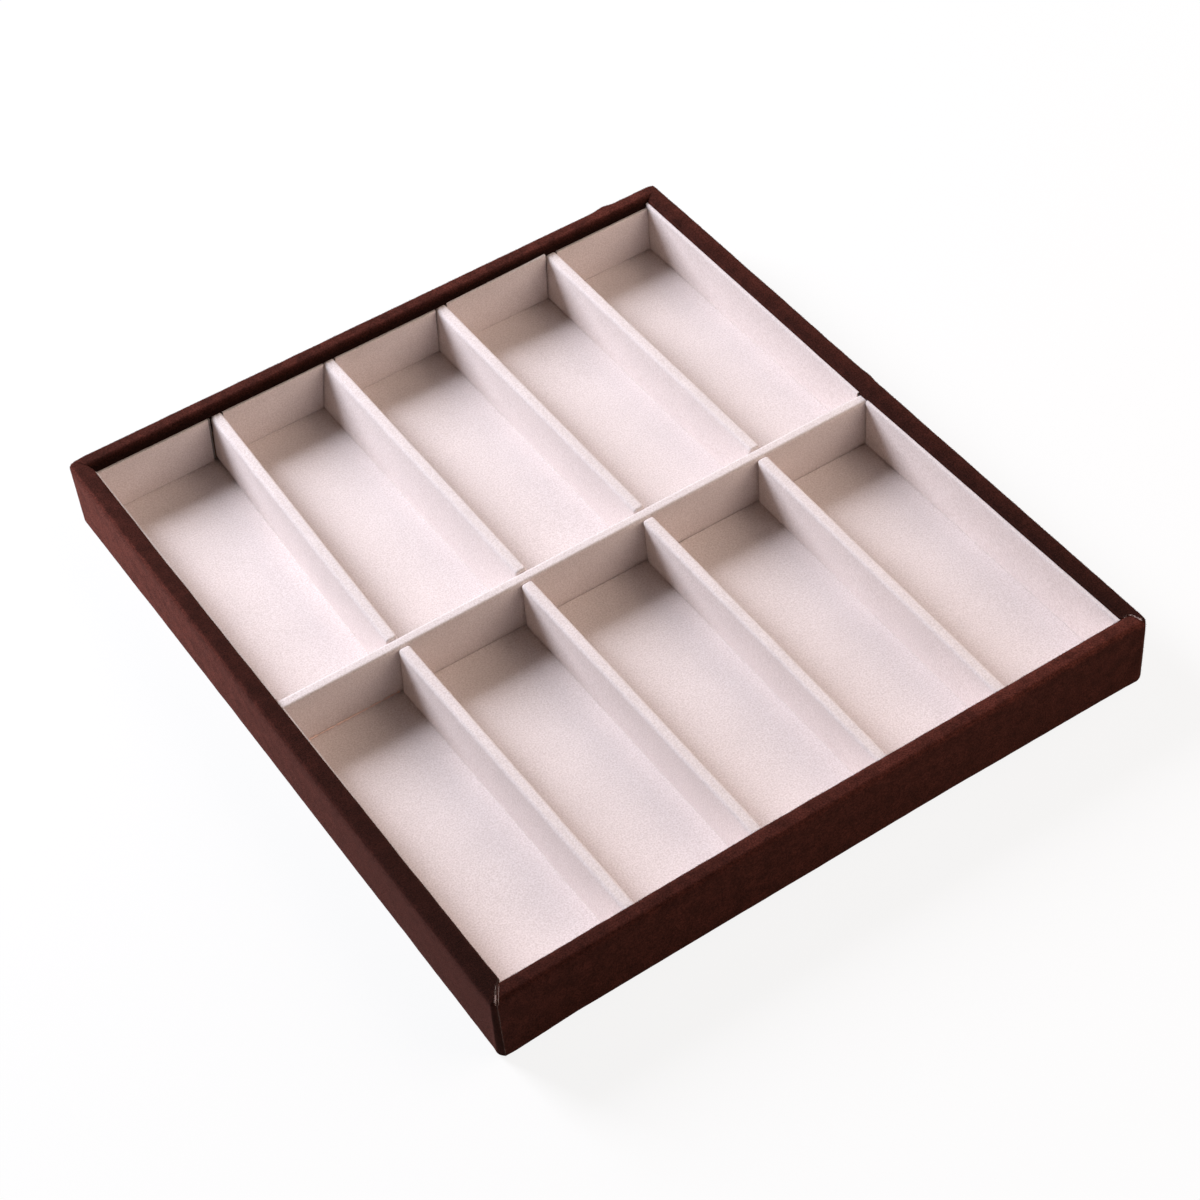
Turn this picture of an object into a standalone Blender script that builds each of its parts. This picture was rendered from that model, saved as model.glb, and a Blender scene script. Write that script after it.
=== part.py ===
"""Open tray for folded glasses: ten compartments in two rows of five.

Board walls are wrapped in dark velvet, and every inner piece is board or card covered in pale suede cloth.
Lengths are in metres. X runs along a row of five compartments, Y runs from the front row to the back row,
and Z is up. The origin is the centre of the underside.
"""

import math

import bmesh
import bpy
from mathutils import Vector

# Outer size
TRAY_WIDTH = 0.310
TRAY_DEPTH = 0.350
TRAY_HEIGHT = 0.035

# Clearance between pieces that are glued together
SEAT_GAP = 0.0003

# Walls: a board wrapped in velvet over the outer face, the rim and a strip of the inner face
WALL_THICKNESS = 0.0068
VELVET_THICKNESS = 0.0008
RIM_OUTER_RADIUS = 0.0018
RIM_INNER_RADIUS = 0.0025
OUTER_CORNER_RADIUS = 0.0020
VELVET_INNER_STRIP = 0.014
VELVET_TURN_UNDER = 0.014
BOTTOM_EDGE_RADIUS = 0.0006

# Seams of the velvet at the four corners, from the corner along the long face and in from it
LEFT_SEAM_OFFSET = 0.0024
RIGHT_SEAM_OFFSET = 0.0016
RIGHT_SEAM_HUMP_OFFSET = 0.0040
RIGHT_SEAM_HUMP_DEPTH = 0.0062

# Underside and base
COVER_THICKNESS = 0.0006
COVER_INSET = 0.0045
COVER_CORNER_RADIUS = 0.0030
BASE_THICKNESS = 0.0020

# Pale lining
CLOTH_THICKNESS = 0.0006
FLOOR_CARD_THICKNESS = 0.0010
FLOOR_EDGE_RADIUS = 0.0003
LINER_CARD_THICKNESS = 0.0010
LINER_DROP = 0.0040
LINER_EDGE_RADIUS = 0.0005
LINER_END_GAP = 0.0005

# Dividers
DIVIDER_BOARD_THICKNESS = 0.0034
DIVIDER_CLOTH_THICKNESS = 0.0007
DIVIDER_TOP_RADIUS = 0.0015
DIVIDER_END_GAP = 0.0005
COMPARTMENTS_PER_ROW = 5

# Every short divider was set by hand a little off the even spacing. Each row here is one divider, from left
# to right: its shift at the wall and at the centre divider as shares of a compartment's width, then how far
# its top leans to the right of its foot as a share of its height.
FRONT_DIVIDER_SHARES = (
    (0.005, -0.020, 0.05),
    (-0.005, -0.018, 0.00),
    (0.000, 0.012, -0.03),
    (-0.020, 0.015, 0.00),
)
BACK_DIVIDER_SHARES = (
    (0.052, -0.048, 0.06),
    (0.024, 0.020, 0.16),
    (0.026, 0.022, 0.05),
    (0.044, 0.040, 0.05),
)
# The fourth back liner stands a little above its neighbours, as a share of the liner's drop below the rim
BACK_LINER_RISE_SHARES = (0.0, 0.0, 0.0, 0.22, 0.0)
FRONT_LINER_RISE_SHARES = (0.0, 0.0, 0.0, 0.0, 0.0)

# Faces in each quarter turn of a rounded edge
ARC_STEPS = 3
CORNER_STEPS = 5
# How far a cutting region runs past what it cuts
CUT_OVERRUN = 0.005
# Points nearer than this share of the seat gap are one point
MERGE_SHARE = 0.001

HALF_WIDTH = TRAY_WIDTH / 2
HALF_DEPTH = TRAY_DEPTH / 2

# Heights, from the underside up
VELVET_BOTTOM = COVER_THICKNESS + SEAT_GAP
BASE_BOTTOM = VELVET_BOTTOM + VELVET_THICKNESS + SEAT_GAP
BASE_TOP = BASE_BOTTOM + BASE_THICKNESS
CARD_BOTTOM = BASE_TOP + SEAT_GAP
FLOOR_TOP = CARD_BOTTOM + FLOOR_CARD_THICKNESS + SEAT_GAP + CLOTH_THICKNESS
LINING_BOTTOM = FLOOR_TOP + SEAT_GAP
LINING_TOP = TRAY_HEIGHT - LINER_DROP

# Places across the walls, from the outer face in
BOARD_OUTER = VELVET_THICKNESS + SEAT_GAP
BOARD_INNER = WALL_THICKNESS - VELVET_THICKNESS - SEAT_GAP
LINER_BACK = WALL_THICKNESS + SEAT_GAP
LINER_FACE = LINER_BACK + LINER_CARD_THICKNESS + SEAT_GAP + CLOTH_THICKNESS

DIVIDER_THICKNESS = DIVIDER_BOARD_THICKNESS + SEAT_GAP + SEAT_GAP + DIVIDER_CLOTH_THICKNESS * 2
DIVIDERS_PER_ROW = COMPARTMENTS_PER_ROW - 1
COMPARTMENT_WIDTH = (
    TRAY_WIDTH - LINER_FACE * 2 - DIVIDER_THICKNESS * DIVIDERS_PER_ROW
) / COMPARTMENTS_PER_ROW
# A short divider runs from the centre divider to the wall, past the ends of the liners
ROW_NEAR = DIVIDER_THICKNESS / 2 + DIVIDER_END_GAP
ROW_FAR = HALF_DEPTH - LINER_BACK

# Colour in sRGB, roughness
VELVET_FINISH = ("dark_velvet", (0.235, 0.125, 0.112), 0.95)
SUEDE_FINISH = ("pale_suede_cloth", (0.905, 0.835, 0.835), 0.95)
BOARD_FINISH = ("grey_board", (0.560, 0.530, 0.490), 0.90)
FIBREBOARD_FINISH = ("brown_fibreboard", (0.560, 0.440, 0.330), 0.85)
PAPER_FINISH = ("flocked_paper", (0.150, 0.090, 0.085), 0.95)


def clear_scene():
    """Removes every object that the file holds."""
    for old in list(bpy.data.objects):
        bpy.data.objects.remove(old)


def linear(channel):
    """Turns one sRGB channel to its linear value."""
    return channel / 12.92 if channel <= 0.04045 else ((channel + 0.055) / 1.055) ** 2.4


def material(finish):
    """Makes the finish's material once and then gives that one."""
    name, colour, roughness = finish
    found = bpy.data.materials.get(name)
    if found:
        return found
    made = bpy.data.materials.new(name)
    made.use_nodes = True
    shader = made.node_tree.nodes["Principled BSDF"]
    shader.inputs["Base Color"].default_value = [linear(c) for c in colour] + [1]
    shader.inputs["Roughness"].default_value = roughness
    shader.inputs["Metallic"].default_value = 0
    return made


def add_object(name, shape, finish):
    """Turns a bmesh into an object with its faces pointing out."""
    bmesh.ops.recalc_face_normals(shape, faces=shape.faces)
    mesh = bpy.data.meshes.new(name)
    shape.to_mesh(mesh)
    shape.free()
    mesh.shade_smooth()
    mesh.set_sharp_from_angle(angle=math.radians(40))
    mesh.materials.append(material(finish))
    made = bpy.data.objects.new(name, mesh)
    bpy.context.collection.objects.link(made)
    return made


def as_guide(guide):
    """Keeps an object that only cuts others out of the model."""
    guide.hide_render = True
    guide.display_type = "WIRE"
    return guide


def arc(centre_u, centre_z, radius, start_quarter, steps=ARC_STEPS):
    """Points of a quarter turn, clockwise from the given quarter: 0 points left, 1 up and 2 right."""
    points = []
    for step in range(steps + 1):
        turn = math.pi / 2 * (2 - start_quarter - step / steps)
        points.append((centre_u + radius * math.cos(turn), centre_z + radius * math.sin(turn)))
    return points


def prism(name, outline, start, end, place, finish):
    """Runs an outline of (u, z) points from start to end, with place(s, u, z) giving each point in space."""
    shape = bmesh.new()
    near = [shape.verts.new(place(start, u, z)) for u, z in outline]
    far = [shape.verts.new(place(end, u, z)) for u, z in outline]
    shape.faces.new(near)
    shape.faces.new(far)
    for i in range(len(outline)):
        j = (i + 1) % len(outline)
        shape.faces.new((near[i], near[j], far[j], far[i]))
    return add_object(name, shape, finish)


def plan_prism(name, outline, bottom, top, finish):
    """Raises an outline of (x, y) points from bottom to top."""
    return prism(name, outline, bottom, top, lambda s, x, y: Vector((x, y, s)), finish)


def rounded_plan(inset, radius):
    """Points of the tray's plan, drawn in by the inset, with its corners at the radius."""
    centre_x = HALF_WIDTH - inset - radius
    centre_y = HALF_DEPTH - inset - radius
    points = []
    for quarter, (side_x, side_y) in enumerate(((1, 1), (-1, 1), (-1, -1), (1, -1))):
        for step in range(CORNER_STEPS + 1):
            turn = math.pi / 2 * (quarter + step / CORNER_STEPS)
            points.append(
                (side_x * centre_x + radius * math.cos(turn), side_y * centre_y + radius * math.sin(turn))
            )
    return points


def wall_places():
    """For each wall, how a place along it, in from its outer face and up becomes a point in space."""
    return {
        "front": lambda s, u, z: Vector((s, u - HALF_DEPTH, z)),
        "back": lambda s, u, z: Vector((s, HALF_DEPTH - u, z)),
        "left": lambda s, u, z: Vector((u - HALF_WIDTH, s, z)),
        "right": lambda s, u, z: Vector((HALF_WIDTH - u, s, z)),
    }


def velvet_outline():
    """Section of the velvet: under the base, up the outer face, over the rim and down the inner face."""
    tuck = TRAY_HEIGHT - VELVET_INNER_STRIP
    inner = WALL_THICKNESS
    outer_arc = arc(
        RIM_OUTER_RADIUS, TRAY_HEIGHT - RIM_OUTER_RADIUS, RIM_OUTER_RADIUS, 0
    )
    inner_arc = arc(
        inner - RIM_INNER_RADIUS, TRAY_HEIGHT - RIM_INNER_RADIUS, RIM_INNER_RADIUS, 1
    )
    bottom_arc = arc(
        BOTTOM_EDGE_RADIUS, VELVET_BOTTOM + BOTTOM_EDGE_RADIUS, BOTTOM_EDGE_RADIUS, -1
    )
    under_outer = arc(
        RIM_OUTER_RADIUS, TRAY_HEIGHT - RIM_OUTER_RADIUS, RIM_OUTER_RADIUS - VELVET_THICKNESS, 0
    )
    under_inner = arc(
        inner - RIM_INNER_RADIUS, TRAY_HEIGHT - RIM_INNER_RADIUS, RIM_INNER_RADIUS - VELVET_THICKNESS, 1
    )
    outside = bottom_arc + outer_arc + inner_arc + [(inner, tuck)]
    inside = [(inner - VELVET_THICKNESS, tuck)] + under_inner[::-1] + under_outer[::-1]
    flap = [
        (VELVET_THICKNESS, VELVET_BOTTOM + VELVET_THICKNESS),
        (VELVET_TURN_UNDER, VELVET_BOTTOM + VELVET_THICKNESS),
        (VELVET_TURN_UNDER, VELVET_BOTTOM),
    ]
    return outside + inside + flap


def wall_ring(name, outline, finish):
    """All four walls in one, with the outline's (u, z) points run round the tray's plan. It only guides cuts."""
    shape = bmesh.new()
    loops = []
    for u, z in outline:
        plan = rounded_plan(u, max(OUTER_CORNER_RADIUS - u, 0))
        loops.append([shape.verts.new((x, y, z)) for x, y in plan])
    for near, far in zip(loops, loops[1:] + loops[:1]):
        for i in range(len(near)):
            j = (i + 1) % len(near)
            shape.faces.new((near[i], near[j], far[j], far[i]))
    bmesh.ops.remove_doubles(shape, verts=shape.verts, dist=SEAT_GAP * MERGE_SHARE)
    return as_guide(add_object(name, shape, finish))


def cut_wall(name, ring, region, finish):
    """One wall's piece of the ring: what lies inside the region of the plan."""
    piece = plan_prism(name, region, -CUT_OVERRUN, TRAY_HEIGHT + CUT_OVERRUN, finish)
    cut = piece.modifiers.new("keep_wall", "BOOLEAN")
    cut.operation = "INTERSECT"
    cut.solver = "EXACT"
    cut.object = ring


def seam_plan():
    """Each side's seam in plan, from outside the tray to the end of the flap, measured from the outer corner."""
    inner = (WALL_THICKNESS, WALL_THICKNESS)
    flap = (VELVET_TURN_UNDER + CUT_OVERRUN, VELVET_TURN_UNDER + CUT_OVERRUN)
    left = [(LEFT_SEAM_OFFSET, -CUT_OVERRUN), (LEFT_SEAM_OFFSET, 0), inner, flap]
    hump = (RIGHT_SEAM_HUMP_OFFSET, RIGHT_SEAM_HUMP_DEPTH)
    right = [(RIGHT_SEAM_OFFSET, -CUT_OVERRUN), (RIGHT_SEAM_OFFSET, 0), hump, inner, flap]
    return left, right


def wrap_regions():
    """The plan outline that each wall's velvet keeps of the whole ring."""
    left, right = seam_plan()
    front_left = [(x - HALF_WIDTH, y - HALF_DEPTH) for x, y in left]
    front_right = [(HALF_WIDTH - x, y - HALF_DEPTH) for x, y in right]
    regions = {}
    for name, side in (("front", 1), ("back", -1)):
        start = [(x + SEAT_GAP, y * side) for x, y in front_left]
        end = [(x - SEAT_GAP, y * side) for x, y in front_right]
        regions[name] = start + end[::-1]
    edge = HALF_WIDTH + CUT_OVERRUN
    for name, seam, outside in (("left", front_left, -edge), ("right", front_right, edge)):
        far = [(x, -y) for x, y in seam]
        regions[name] = [(outside, seam[0][1])] + seam + far[::-1] + [(outside, far[0][1])]
    return regions


def add_velvet():
    """The four velvet strips, each cut from the ring along its corner seams."""
    ring = wall_ring("velvet_ring_guide", velvet_outline(), VELVET_FINISH)
    for wall, region in wrap_regions().items():
        cut_wall(wall + "_velvet_wrap", ring, region, VELVET_FINISH)


def board_outline():
    """Section of a wall board, with its top edges sanded to the rim's rounding."""
    top = TRAY_HEIGHT - BOARD_OUTER
    outer = RIM_OUTER_RADIUS - BOARD_OUTER
    inner = RIM_INNER_RADIUS - BOARD_OUTER
    return (
        [(BOARD_OUTER, CARD_BOTTOM)]
        + arc(BOARD_OUTER + outer, top - outer, outer, 0)
        + arc(BOARD_INNER - inner, top - inner, inner, 1)
        + [(BOARD_INNER, CARD_BOTTOM)]
    )


def add_wall_boards():
    """Two long boards that take in the corners, and two shorter ones between them."""
    ring = wall_ring("board_ring_guide", board_outline(), FIBREBOARD_FINISH)
    outer_x = HALF_WIDTH + CUT_OVERRUN
    outer_y = HALF_DEPTH + CUT_OVERRUN
    inner_x = HALF_WIDTH - BOARD_INNER - CUT_OVERRUN
    joint_y = HALF_DEPTH - BOARD_INNER
    end_y = joint_y - SEAT_GAP
    for wall, side in (("front", -1), ("back", 1)):
        region = [(-outer_x, joint_y), (outer_x, joint_y), (outer_x, outer_y), (-outer_x, outer_y)]
        cut_wall(wall + "_wall_board", ring, [(x, y * side) for x, y in region], FIBREBOARD_FINISH)
    for wall, side in (("left", -1), ("right", 1)):
        region = [(inner_x, -end_y), (outer_x, -end_y), (outer_x, end_y), (inner_x, end_y)]
        cut_wall(wall + "_wall_board", ring, [(x * side, y) for x, y in region], FIBREBOARD_FINISH)


def add_base():
    """The base board and the thin sheet that covers the turned-in velvet under it."""
    plan_prism(
        "base_board",
        rounded_plan(BOARD_OUTER, OUTER_CORNER_RADIUS - BOARD_OUTER),
        BASE_BOTTOM,
        BASE_TOP,
        FIBREBOARD_FINISH,
    )
    cover_plan = rounded_plan(COVER_INSET, COVER_CORNER_RADIUS)
    plan_prism("underside_cover", cover_plan, 0, COVER_THICKNESS, PAPER_FINISH)


def block(size):
    """A box from zero up, centred on X and starting at zero on Y."""
    shape = bmesh.new()
    bmesh.ops.create_cube(shape, size=1)
    bmesh.ops.translate(shape, verts=shape.verts, vec=(0, 1 / 2, 1 / 2))
    bmesh.ops.scale(shape, verts=shape.verts, vec=size)
    return shape


def cloth_cover(size, cloth, radius, round_ends):
    """A cloth cap in the shape of the block that it covers, open below, with its top edges rounded."""
    width, length, height = size
    shape = block(size)
    middle = height / 2
    edges = [
        e for e in shape.edges
        if all(v.co.z > middle for v in e.verts)
        or (round_ends and abs(e.verts[0].co.z - e.verts[1].co.z) > middle)
    ]
    bmesh.ops.bevel(shape, geom=edges, offset=radius, segments=ARC_STEPS, profile=0.5, affect="EDGES")
    shape.faces.ensure_lookup_table()
    bottom = min(shape.faces, key=lambda f: f.calc_center_median().z)
    bmesh.ops.inset_region(shape, faces=[bottom], thickness=cloth, use_even_offset=True)
    raised = bmesh.ops.extrude_discrete_faces(shape, faces=[bottom])["faces"]
    bmesh.ops.translate(shape, verts=list({v for f in raised for v in f.verts}), vec=(0, 0, height - cloth))
    return shape


def covered_board(names, size, cloth, radius, finishes, location, bend=None, round_ends=True):
    """A board and the cloth cap over it. bend moves each point after both are made, alike for the two."""
    width, length, height = size
    margin = cloth + SEAT_GAP
    core = block((width - margin * 2, length - margin * 2, height - margin))
    bmesh.ops.translate(core, verts=core.verts, vec=(0, margin, 0))
    cover = cloth_cover(size, cloth, radius, round_ends)
    for name, shape, finish in zip(names, (core, cover), finishes):
        if bend:
            for v in shape.verts:
                v.co.x += bend(v.co.y, v.co.z)
        made = add_object(name, shape, finish)
        made.location = location


def add_floors():
    """One cloth-covered card for each row, on the base board beside the centre divider."""
    width = TRAY_WIDTH - LINER_BACK * 2
    near = DIVIDER_THICKNESS / 2 + SEAT_GAP
    size = (width, ROW_FAR - near, FLOOR_TOP - CARD_BOTTOM)
    for row, start in (("front", -ROW_FAR), ("back", near)):
        covered_board(
            (row + "_floor_card", row + "_floor_cloth"),
            size,
            CLOTH_THICKNESS,
            FLOOR_EDGE_RADIUS,
            (BOARD_FINISH, SUEDE_FINISH),
            (0, start, CARD_BOTTOM),
            round_ends=False,
        )


def divider_middles():
    """The even places of the short dividers along a row."""
    pitch = COMPARTMENT_WIDTH + DIVIDER_THICKNESS
    return [pitch * (i - (DIVIDERS_PER_ROW - 1) / 2) for i in range(DIVIDERS_PER_ROW)]


def divider_shift(wall_share, centre_share, from_wall_share):
    """How far a divider lies off its even place, between its wall end and its centre end."""
    return COMPARTMENT_WIDTH * (wall_share + (centre_share - wall_share) * from_wall_share)


def add_dividers():
    """The long centre divider and the short ones, each a board in a cloth cap."""
    full = TRAY_WIDTH - LINER_BACK * 2
    covered_board(
        ("centre_divider_board", "centre_divider_cloth"),
        (DIVIDER_THICKNESS, full, LINING_TOP - CARD_BOTTOM),
        DIVIDER_CLOTH_THICKNESS,
        DIVIDER_TOP_RADIUS,
        (BOARD_FINISH, SUEDE_FINISH),
        (0, 0, CARD_BOTTOM),
        round_ends=False,
    )
    for name in ("centre_divider_board", "centre_divider_cloth"):
        turned = bpy.data.objects[name]
        turned.rotation_euler.z = -math.pi / 2
        turned.location.x = -full / 2
    length = ROW_FAR - ROW_NEAR
    height = LINING_TOP - LINING_BOTTOM
    for row, row_shares in (("front", FRONT_DIVIDER_SHARES), ("back", BACK_DIVIDER_SHARES)):
        for i, (middle, shares) in enumerate(zip(divider_middles(), row_shares), 1):
            wall_share, centre_share, lean_share = shares
            starts_at_wall = row == "front"

            def bend(y, z):
                along_share = y / length if starts_at_wall else 1 - y / length
                shift = divider_shift(wall_share, centre_share, along_share)
                return shift + lean_share * (z - height)

            covered_board(
                (f"{row}_divider_board_{i}", f"{row}_divider_cloth_{i}"),
                (DIVIDER_THICKNESS, length, height),
                DIVIDER_CLOTH_THICKNESS,
                DIVIDER_TOP_RADIUS,
                (BOARD_FINISH, SUEDE_FINISH),
                (middle, -ROW_FAR if starts_at_wall else ROW_NEAR, LINING_BOTTOM),
                bend,
            )


def between(place, start, end):
    """Runs places along a wall from 0 to 1 between two ends, each its place at the lining's top and its lean."""

    def run(along_share, u, z):
        near, far = [at_top + lean_share * (z - LINING_TOP) for at_top, lean_share in (start, end)]
        return place(near + (far - near) * along_share, u, z)

    return run


def add_liner(name, start, end, place, rise):
    """A card against the wall and the cloth that covers its face and its top edge."""
    run = between(place, start, end)
    face_back = LINER_FACE - CLOTH_THICKNESS
    top = LINING_TOP + rise
    card = [
        (LINER_BACK, LINING_BOTTOM),
        (LINER_BACK + LINER_CARD_THICKNESS, LINING_BOTTOM),
        (LINER_BACK + LINER_CARD_THICKNESS, top - CLOTH_THICKNESS - SEAT_GAP),
        (LINER_BACK, top - CLOTH_THICKNESS - SEAT_GAP),
    ]
    cloth = (
        [(face_back, LINING_BOTTOM), (face_back, top - CLOTH_THICKNESS), (LINER_BACK, top - CLOTH_THICKNESS)]
        + [(LINER_BACK, top)]
        + arc(LINER_FACE - LINER_EDGE_RADIUS, top - LINER_EDGE_RADIUS, LINER_EDGE_RADIUS, 1)
        + [(LINER_FACE, LINING_BOTTOM)]
    )
    prism(name.replace("liner", "liner_card"), card, 0, 1, run, BOARD_FINISH)
    prism(name.replace("liner", "liner_cloth"), cloth, 0, 1, run, SUEDE_FINISH)


def flanking_liner_ends(row_shares, i):
    """The liner ends that flank short divider i: for each, its X at the lining's top and the divider's lean."""
    wall_share, centre_share, lean_share = row_shares[i]
    depth_share = (LINER_FACE - LINER_BACK) / (ROW_FAR - ROW_NEAR)
    middle = divider_middles()[i]
    places = [
        middle + divider_shift(wall_share, centre_share, along_share) for along_share in (0, depth_share)
    ]
    half = DIVIDER_THICKNESS / 2 + LINER_END_GAP
    return (min(places) - half, lean_share), (max(places) + half, lean_share)


def add_liners():
    """Five liners along each long wall, between the dividers' ends, and one for each row on the side walls."""
    places = wall_places()
    inner_edge = HALF_WIDTH - LINER_FACE - LINER_END_GAP
    rows = (
        ("front", FRONT_DIVIDER_SHARES, FRONT_LINER_RISE_SHARES),
        ("back", BACK_DIVIDER_SHARES, BACK_LINER_RISE_SHARES),
    )
    for row, shares, rise_shares in rows:
        flanks = [flanking_liner_ends(shares, i) for i in range(DIVIDERS_PER_ROW)]
        starts = [(-inner_edge, 0)] + [right for left, right in flanks]
        ends = [left for left, right in flanks] + [(inner_edge, 0)]
        for i, (start, end, rise_share) in enumerate(zip(starts, ends, rise_shares), 1):
            add_liner(f"{row}_liner_{i}", start, end, places[row], rise_share * LINER_DROP)
    near = DIVIDER_THICKNESS / 2 + LINER_END_GAP
    for side in ("left", "right"):
        add_liner(f"{side}_front_liner", (-ROW_FAR, 0), (-near, 0), places[side], 0)
        add_liner(f"{side}_back_liner", (near, 0), (ROW_FAR, 0), places[side], 0)


def main():
    clear_scene()
    add_base()
    add_wall_boards()
    add_velvet()
    add_floors()
    add_dividers()
    add_liners()


main()
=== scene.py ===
"""Looks of an open tray for folded glasses: velvet-wrapped board walls round ten suede-lined compartments.

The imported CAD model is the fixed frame. The boards and cards in it stay and get their finishes here. The
velvet wraps and the suede covers are built again here, finer and a little uneven, as hand-wrapped cloth is.
Lengths are in metres. X runs along a row of five compartments, Y from the front row to the back row, and
Z is up. The origin is the centre of the underside.
"""

import logging
import math
from dataclasses import dataclass, field
from enum import Enum
from typing import Any

import bmesh
import bpy
import numpy as np
from mathutils import Matrix, Vector, noise


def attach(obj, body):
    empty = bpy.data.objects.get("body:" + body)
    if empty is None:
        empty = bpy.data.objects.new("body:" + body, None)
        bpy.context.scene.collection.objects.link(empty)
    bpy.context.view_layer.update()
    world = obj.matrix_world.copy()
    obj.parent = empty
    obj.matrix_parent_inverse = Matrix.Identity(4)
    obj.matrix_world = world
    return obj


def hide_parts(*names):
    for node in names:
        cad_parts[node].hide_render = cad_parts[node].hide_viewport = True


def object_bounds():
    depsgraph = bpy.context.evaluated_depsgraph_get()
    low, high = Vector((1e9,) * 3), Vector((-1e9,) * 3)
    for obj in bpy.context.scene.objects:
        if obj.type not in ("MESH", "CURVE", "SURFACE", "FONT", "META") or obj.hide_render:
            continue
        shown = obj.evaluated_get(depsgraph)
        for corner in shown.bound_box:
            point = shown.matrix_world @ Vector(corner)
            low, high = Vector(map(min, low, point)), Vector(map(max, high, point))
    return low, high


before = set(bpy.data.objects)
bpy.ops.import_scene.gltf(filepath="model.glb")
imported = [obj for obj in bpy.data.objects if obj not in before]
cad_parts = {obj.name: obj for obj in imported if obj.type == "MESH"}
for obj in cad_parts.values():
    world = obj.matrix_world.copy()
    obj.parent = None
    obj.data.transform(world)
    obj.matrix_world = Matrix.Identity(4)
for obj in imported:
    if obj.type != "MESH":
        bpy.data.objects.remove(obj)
CAD_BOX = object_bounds()

log = logging.getLogger("glasses_tray")

MM = 0.001
WHITE = (1.0, 1.0, 1.0, 1.0)
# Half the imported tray's width and depth, and its height
HALF_WIDTH, HALF_DEPTH, HEIGHT = (round(side / MM, 2) * MM for side in CAD_BOX[1])


def linear_rgba(hex_code: str) -> tuple[float, float, float, float]:
    """Turns an sRGB hex colour into linear values.

    Args:
        hex_code: Six hex digits, with or without a leading hash.

    Returns:
        Linear red, green and blue, and an alpha of 1.
    """
    digits = hex_code.lstrip("#")
    channels = [int(digits[i : i + 2], 16) / 255 for i in (0, 2, 4)]
    lin = [c / 12.92 if c <= 0.04045 else ((c + 0.055) / 1.055) ** 2.4 for c in channels]
    return (lin[0], lin[1], lin[2], 1.0)


def ramp(value: float, start: float, run: float) -> float:
    """The share of a run that a value has come along, from 0 to 1; a run below 0 goes down."""
    return min(max((value - start) / run, 0.0), 1.0)


def lengths_along(path: np.ndarray) -> np.ndarray:
    """How far each point of a path lies from its start, measured along the path."""
    return np.concatenate([[0], np.cumsum(np.linalg.norm(np.diff(path, axis=0), axis=1))])


def put(name: str, data: Any) -> bpy.types.Object:
    """Puts a new object into the scene.

    Args:
        name: Its name.
        data: Its mesh, lamp or camera.

    Returns:
        The object, at the origin.
    """
    made = bpy.data.objects.new(name, data)
    bpy.context.scene.collection.objects.link(made)
    return made


class NodeWork:
    """A node tree that is written node by node."""

    def __init__(self, tree: bpy.types.NodeTree) -> None:
        """Takes a tree and empties it."""
        self.tree = tree
        tree.nodes.clear()

    def add(self, kind: str, inputs: dict | None = None, **settings: Any) -> bpy.types.NodeOutputs:
        """Adds a node with its settings, and fills its inputs with values or links.

        Args:
            kind: The node's type name.
            inputs: For each input's name or number, a value, an output socket to link, or a list of sockets.
            **settings: The node's own options.

        Returns:
            The new node's outputs.
        """
        node = self.tree.nodes.new(kind)
        for name, value in settings.items():
            setattr(node, name, value)
        for key, value in (inputs or {}).items():
            for source in value if isinstance(value, list) else [value]:
                if isinstance(source, bpy.types.NodeSocket):
                    self.tree.links.new(source, node.inputs[key])
                else:
                    node.inputs[key].default_value = source
        return node.outputs

    def chain(self, kind: str, start: Any, *steps: tuple[str, dict]) -> bpy.types.NodeSocket:
        """Adds a row of nodes of one kind, each of which takes the result of the one before it.

        Args:
            kind: The type name of them all.
            start: What the first one takes: a value, or an output socket.
            *steps: For each node, its operation and its further inputs.

        Returns:
            The last one's result.
        """
        for operation, inputs in steps:
            start = self.add(kind, {0: start} | inputs, operation=operation)[0]
        return start


class SurfaceTree(NodeWork):
    """A material that is written node by node.

    Its patterns run on Object coordinates, which are the tray's own, because every piece sits at the origin.
    """

    def __init__(self, name: str) -> None:
        """Starts the material.

        Args:
            name: The material's name.
        """
        self.material = bpy.data.materials.new(name)
        self.material.use_nodes = True
        super().__init__(self.material.node_tree)

    def close(self, shader: bpy.types.NodeSocket) -> bpy.types.Material:
        """Ends the material with its shader."""
        self.add("ShaderNodeOutputMaterial", {"Surface": shader})
        return self.material


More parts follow.
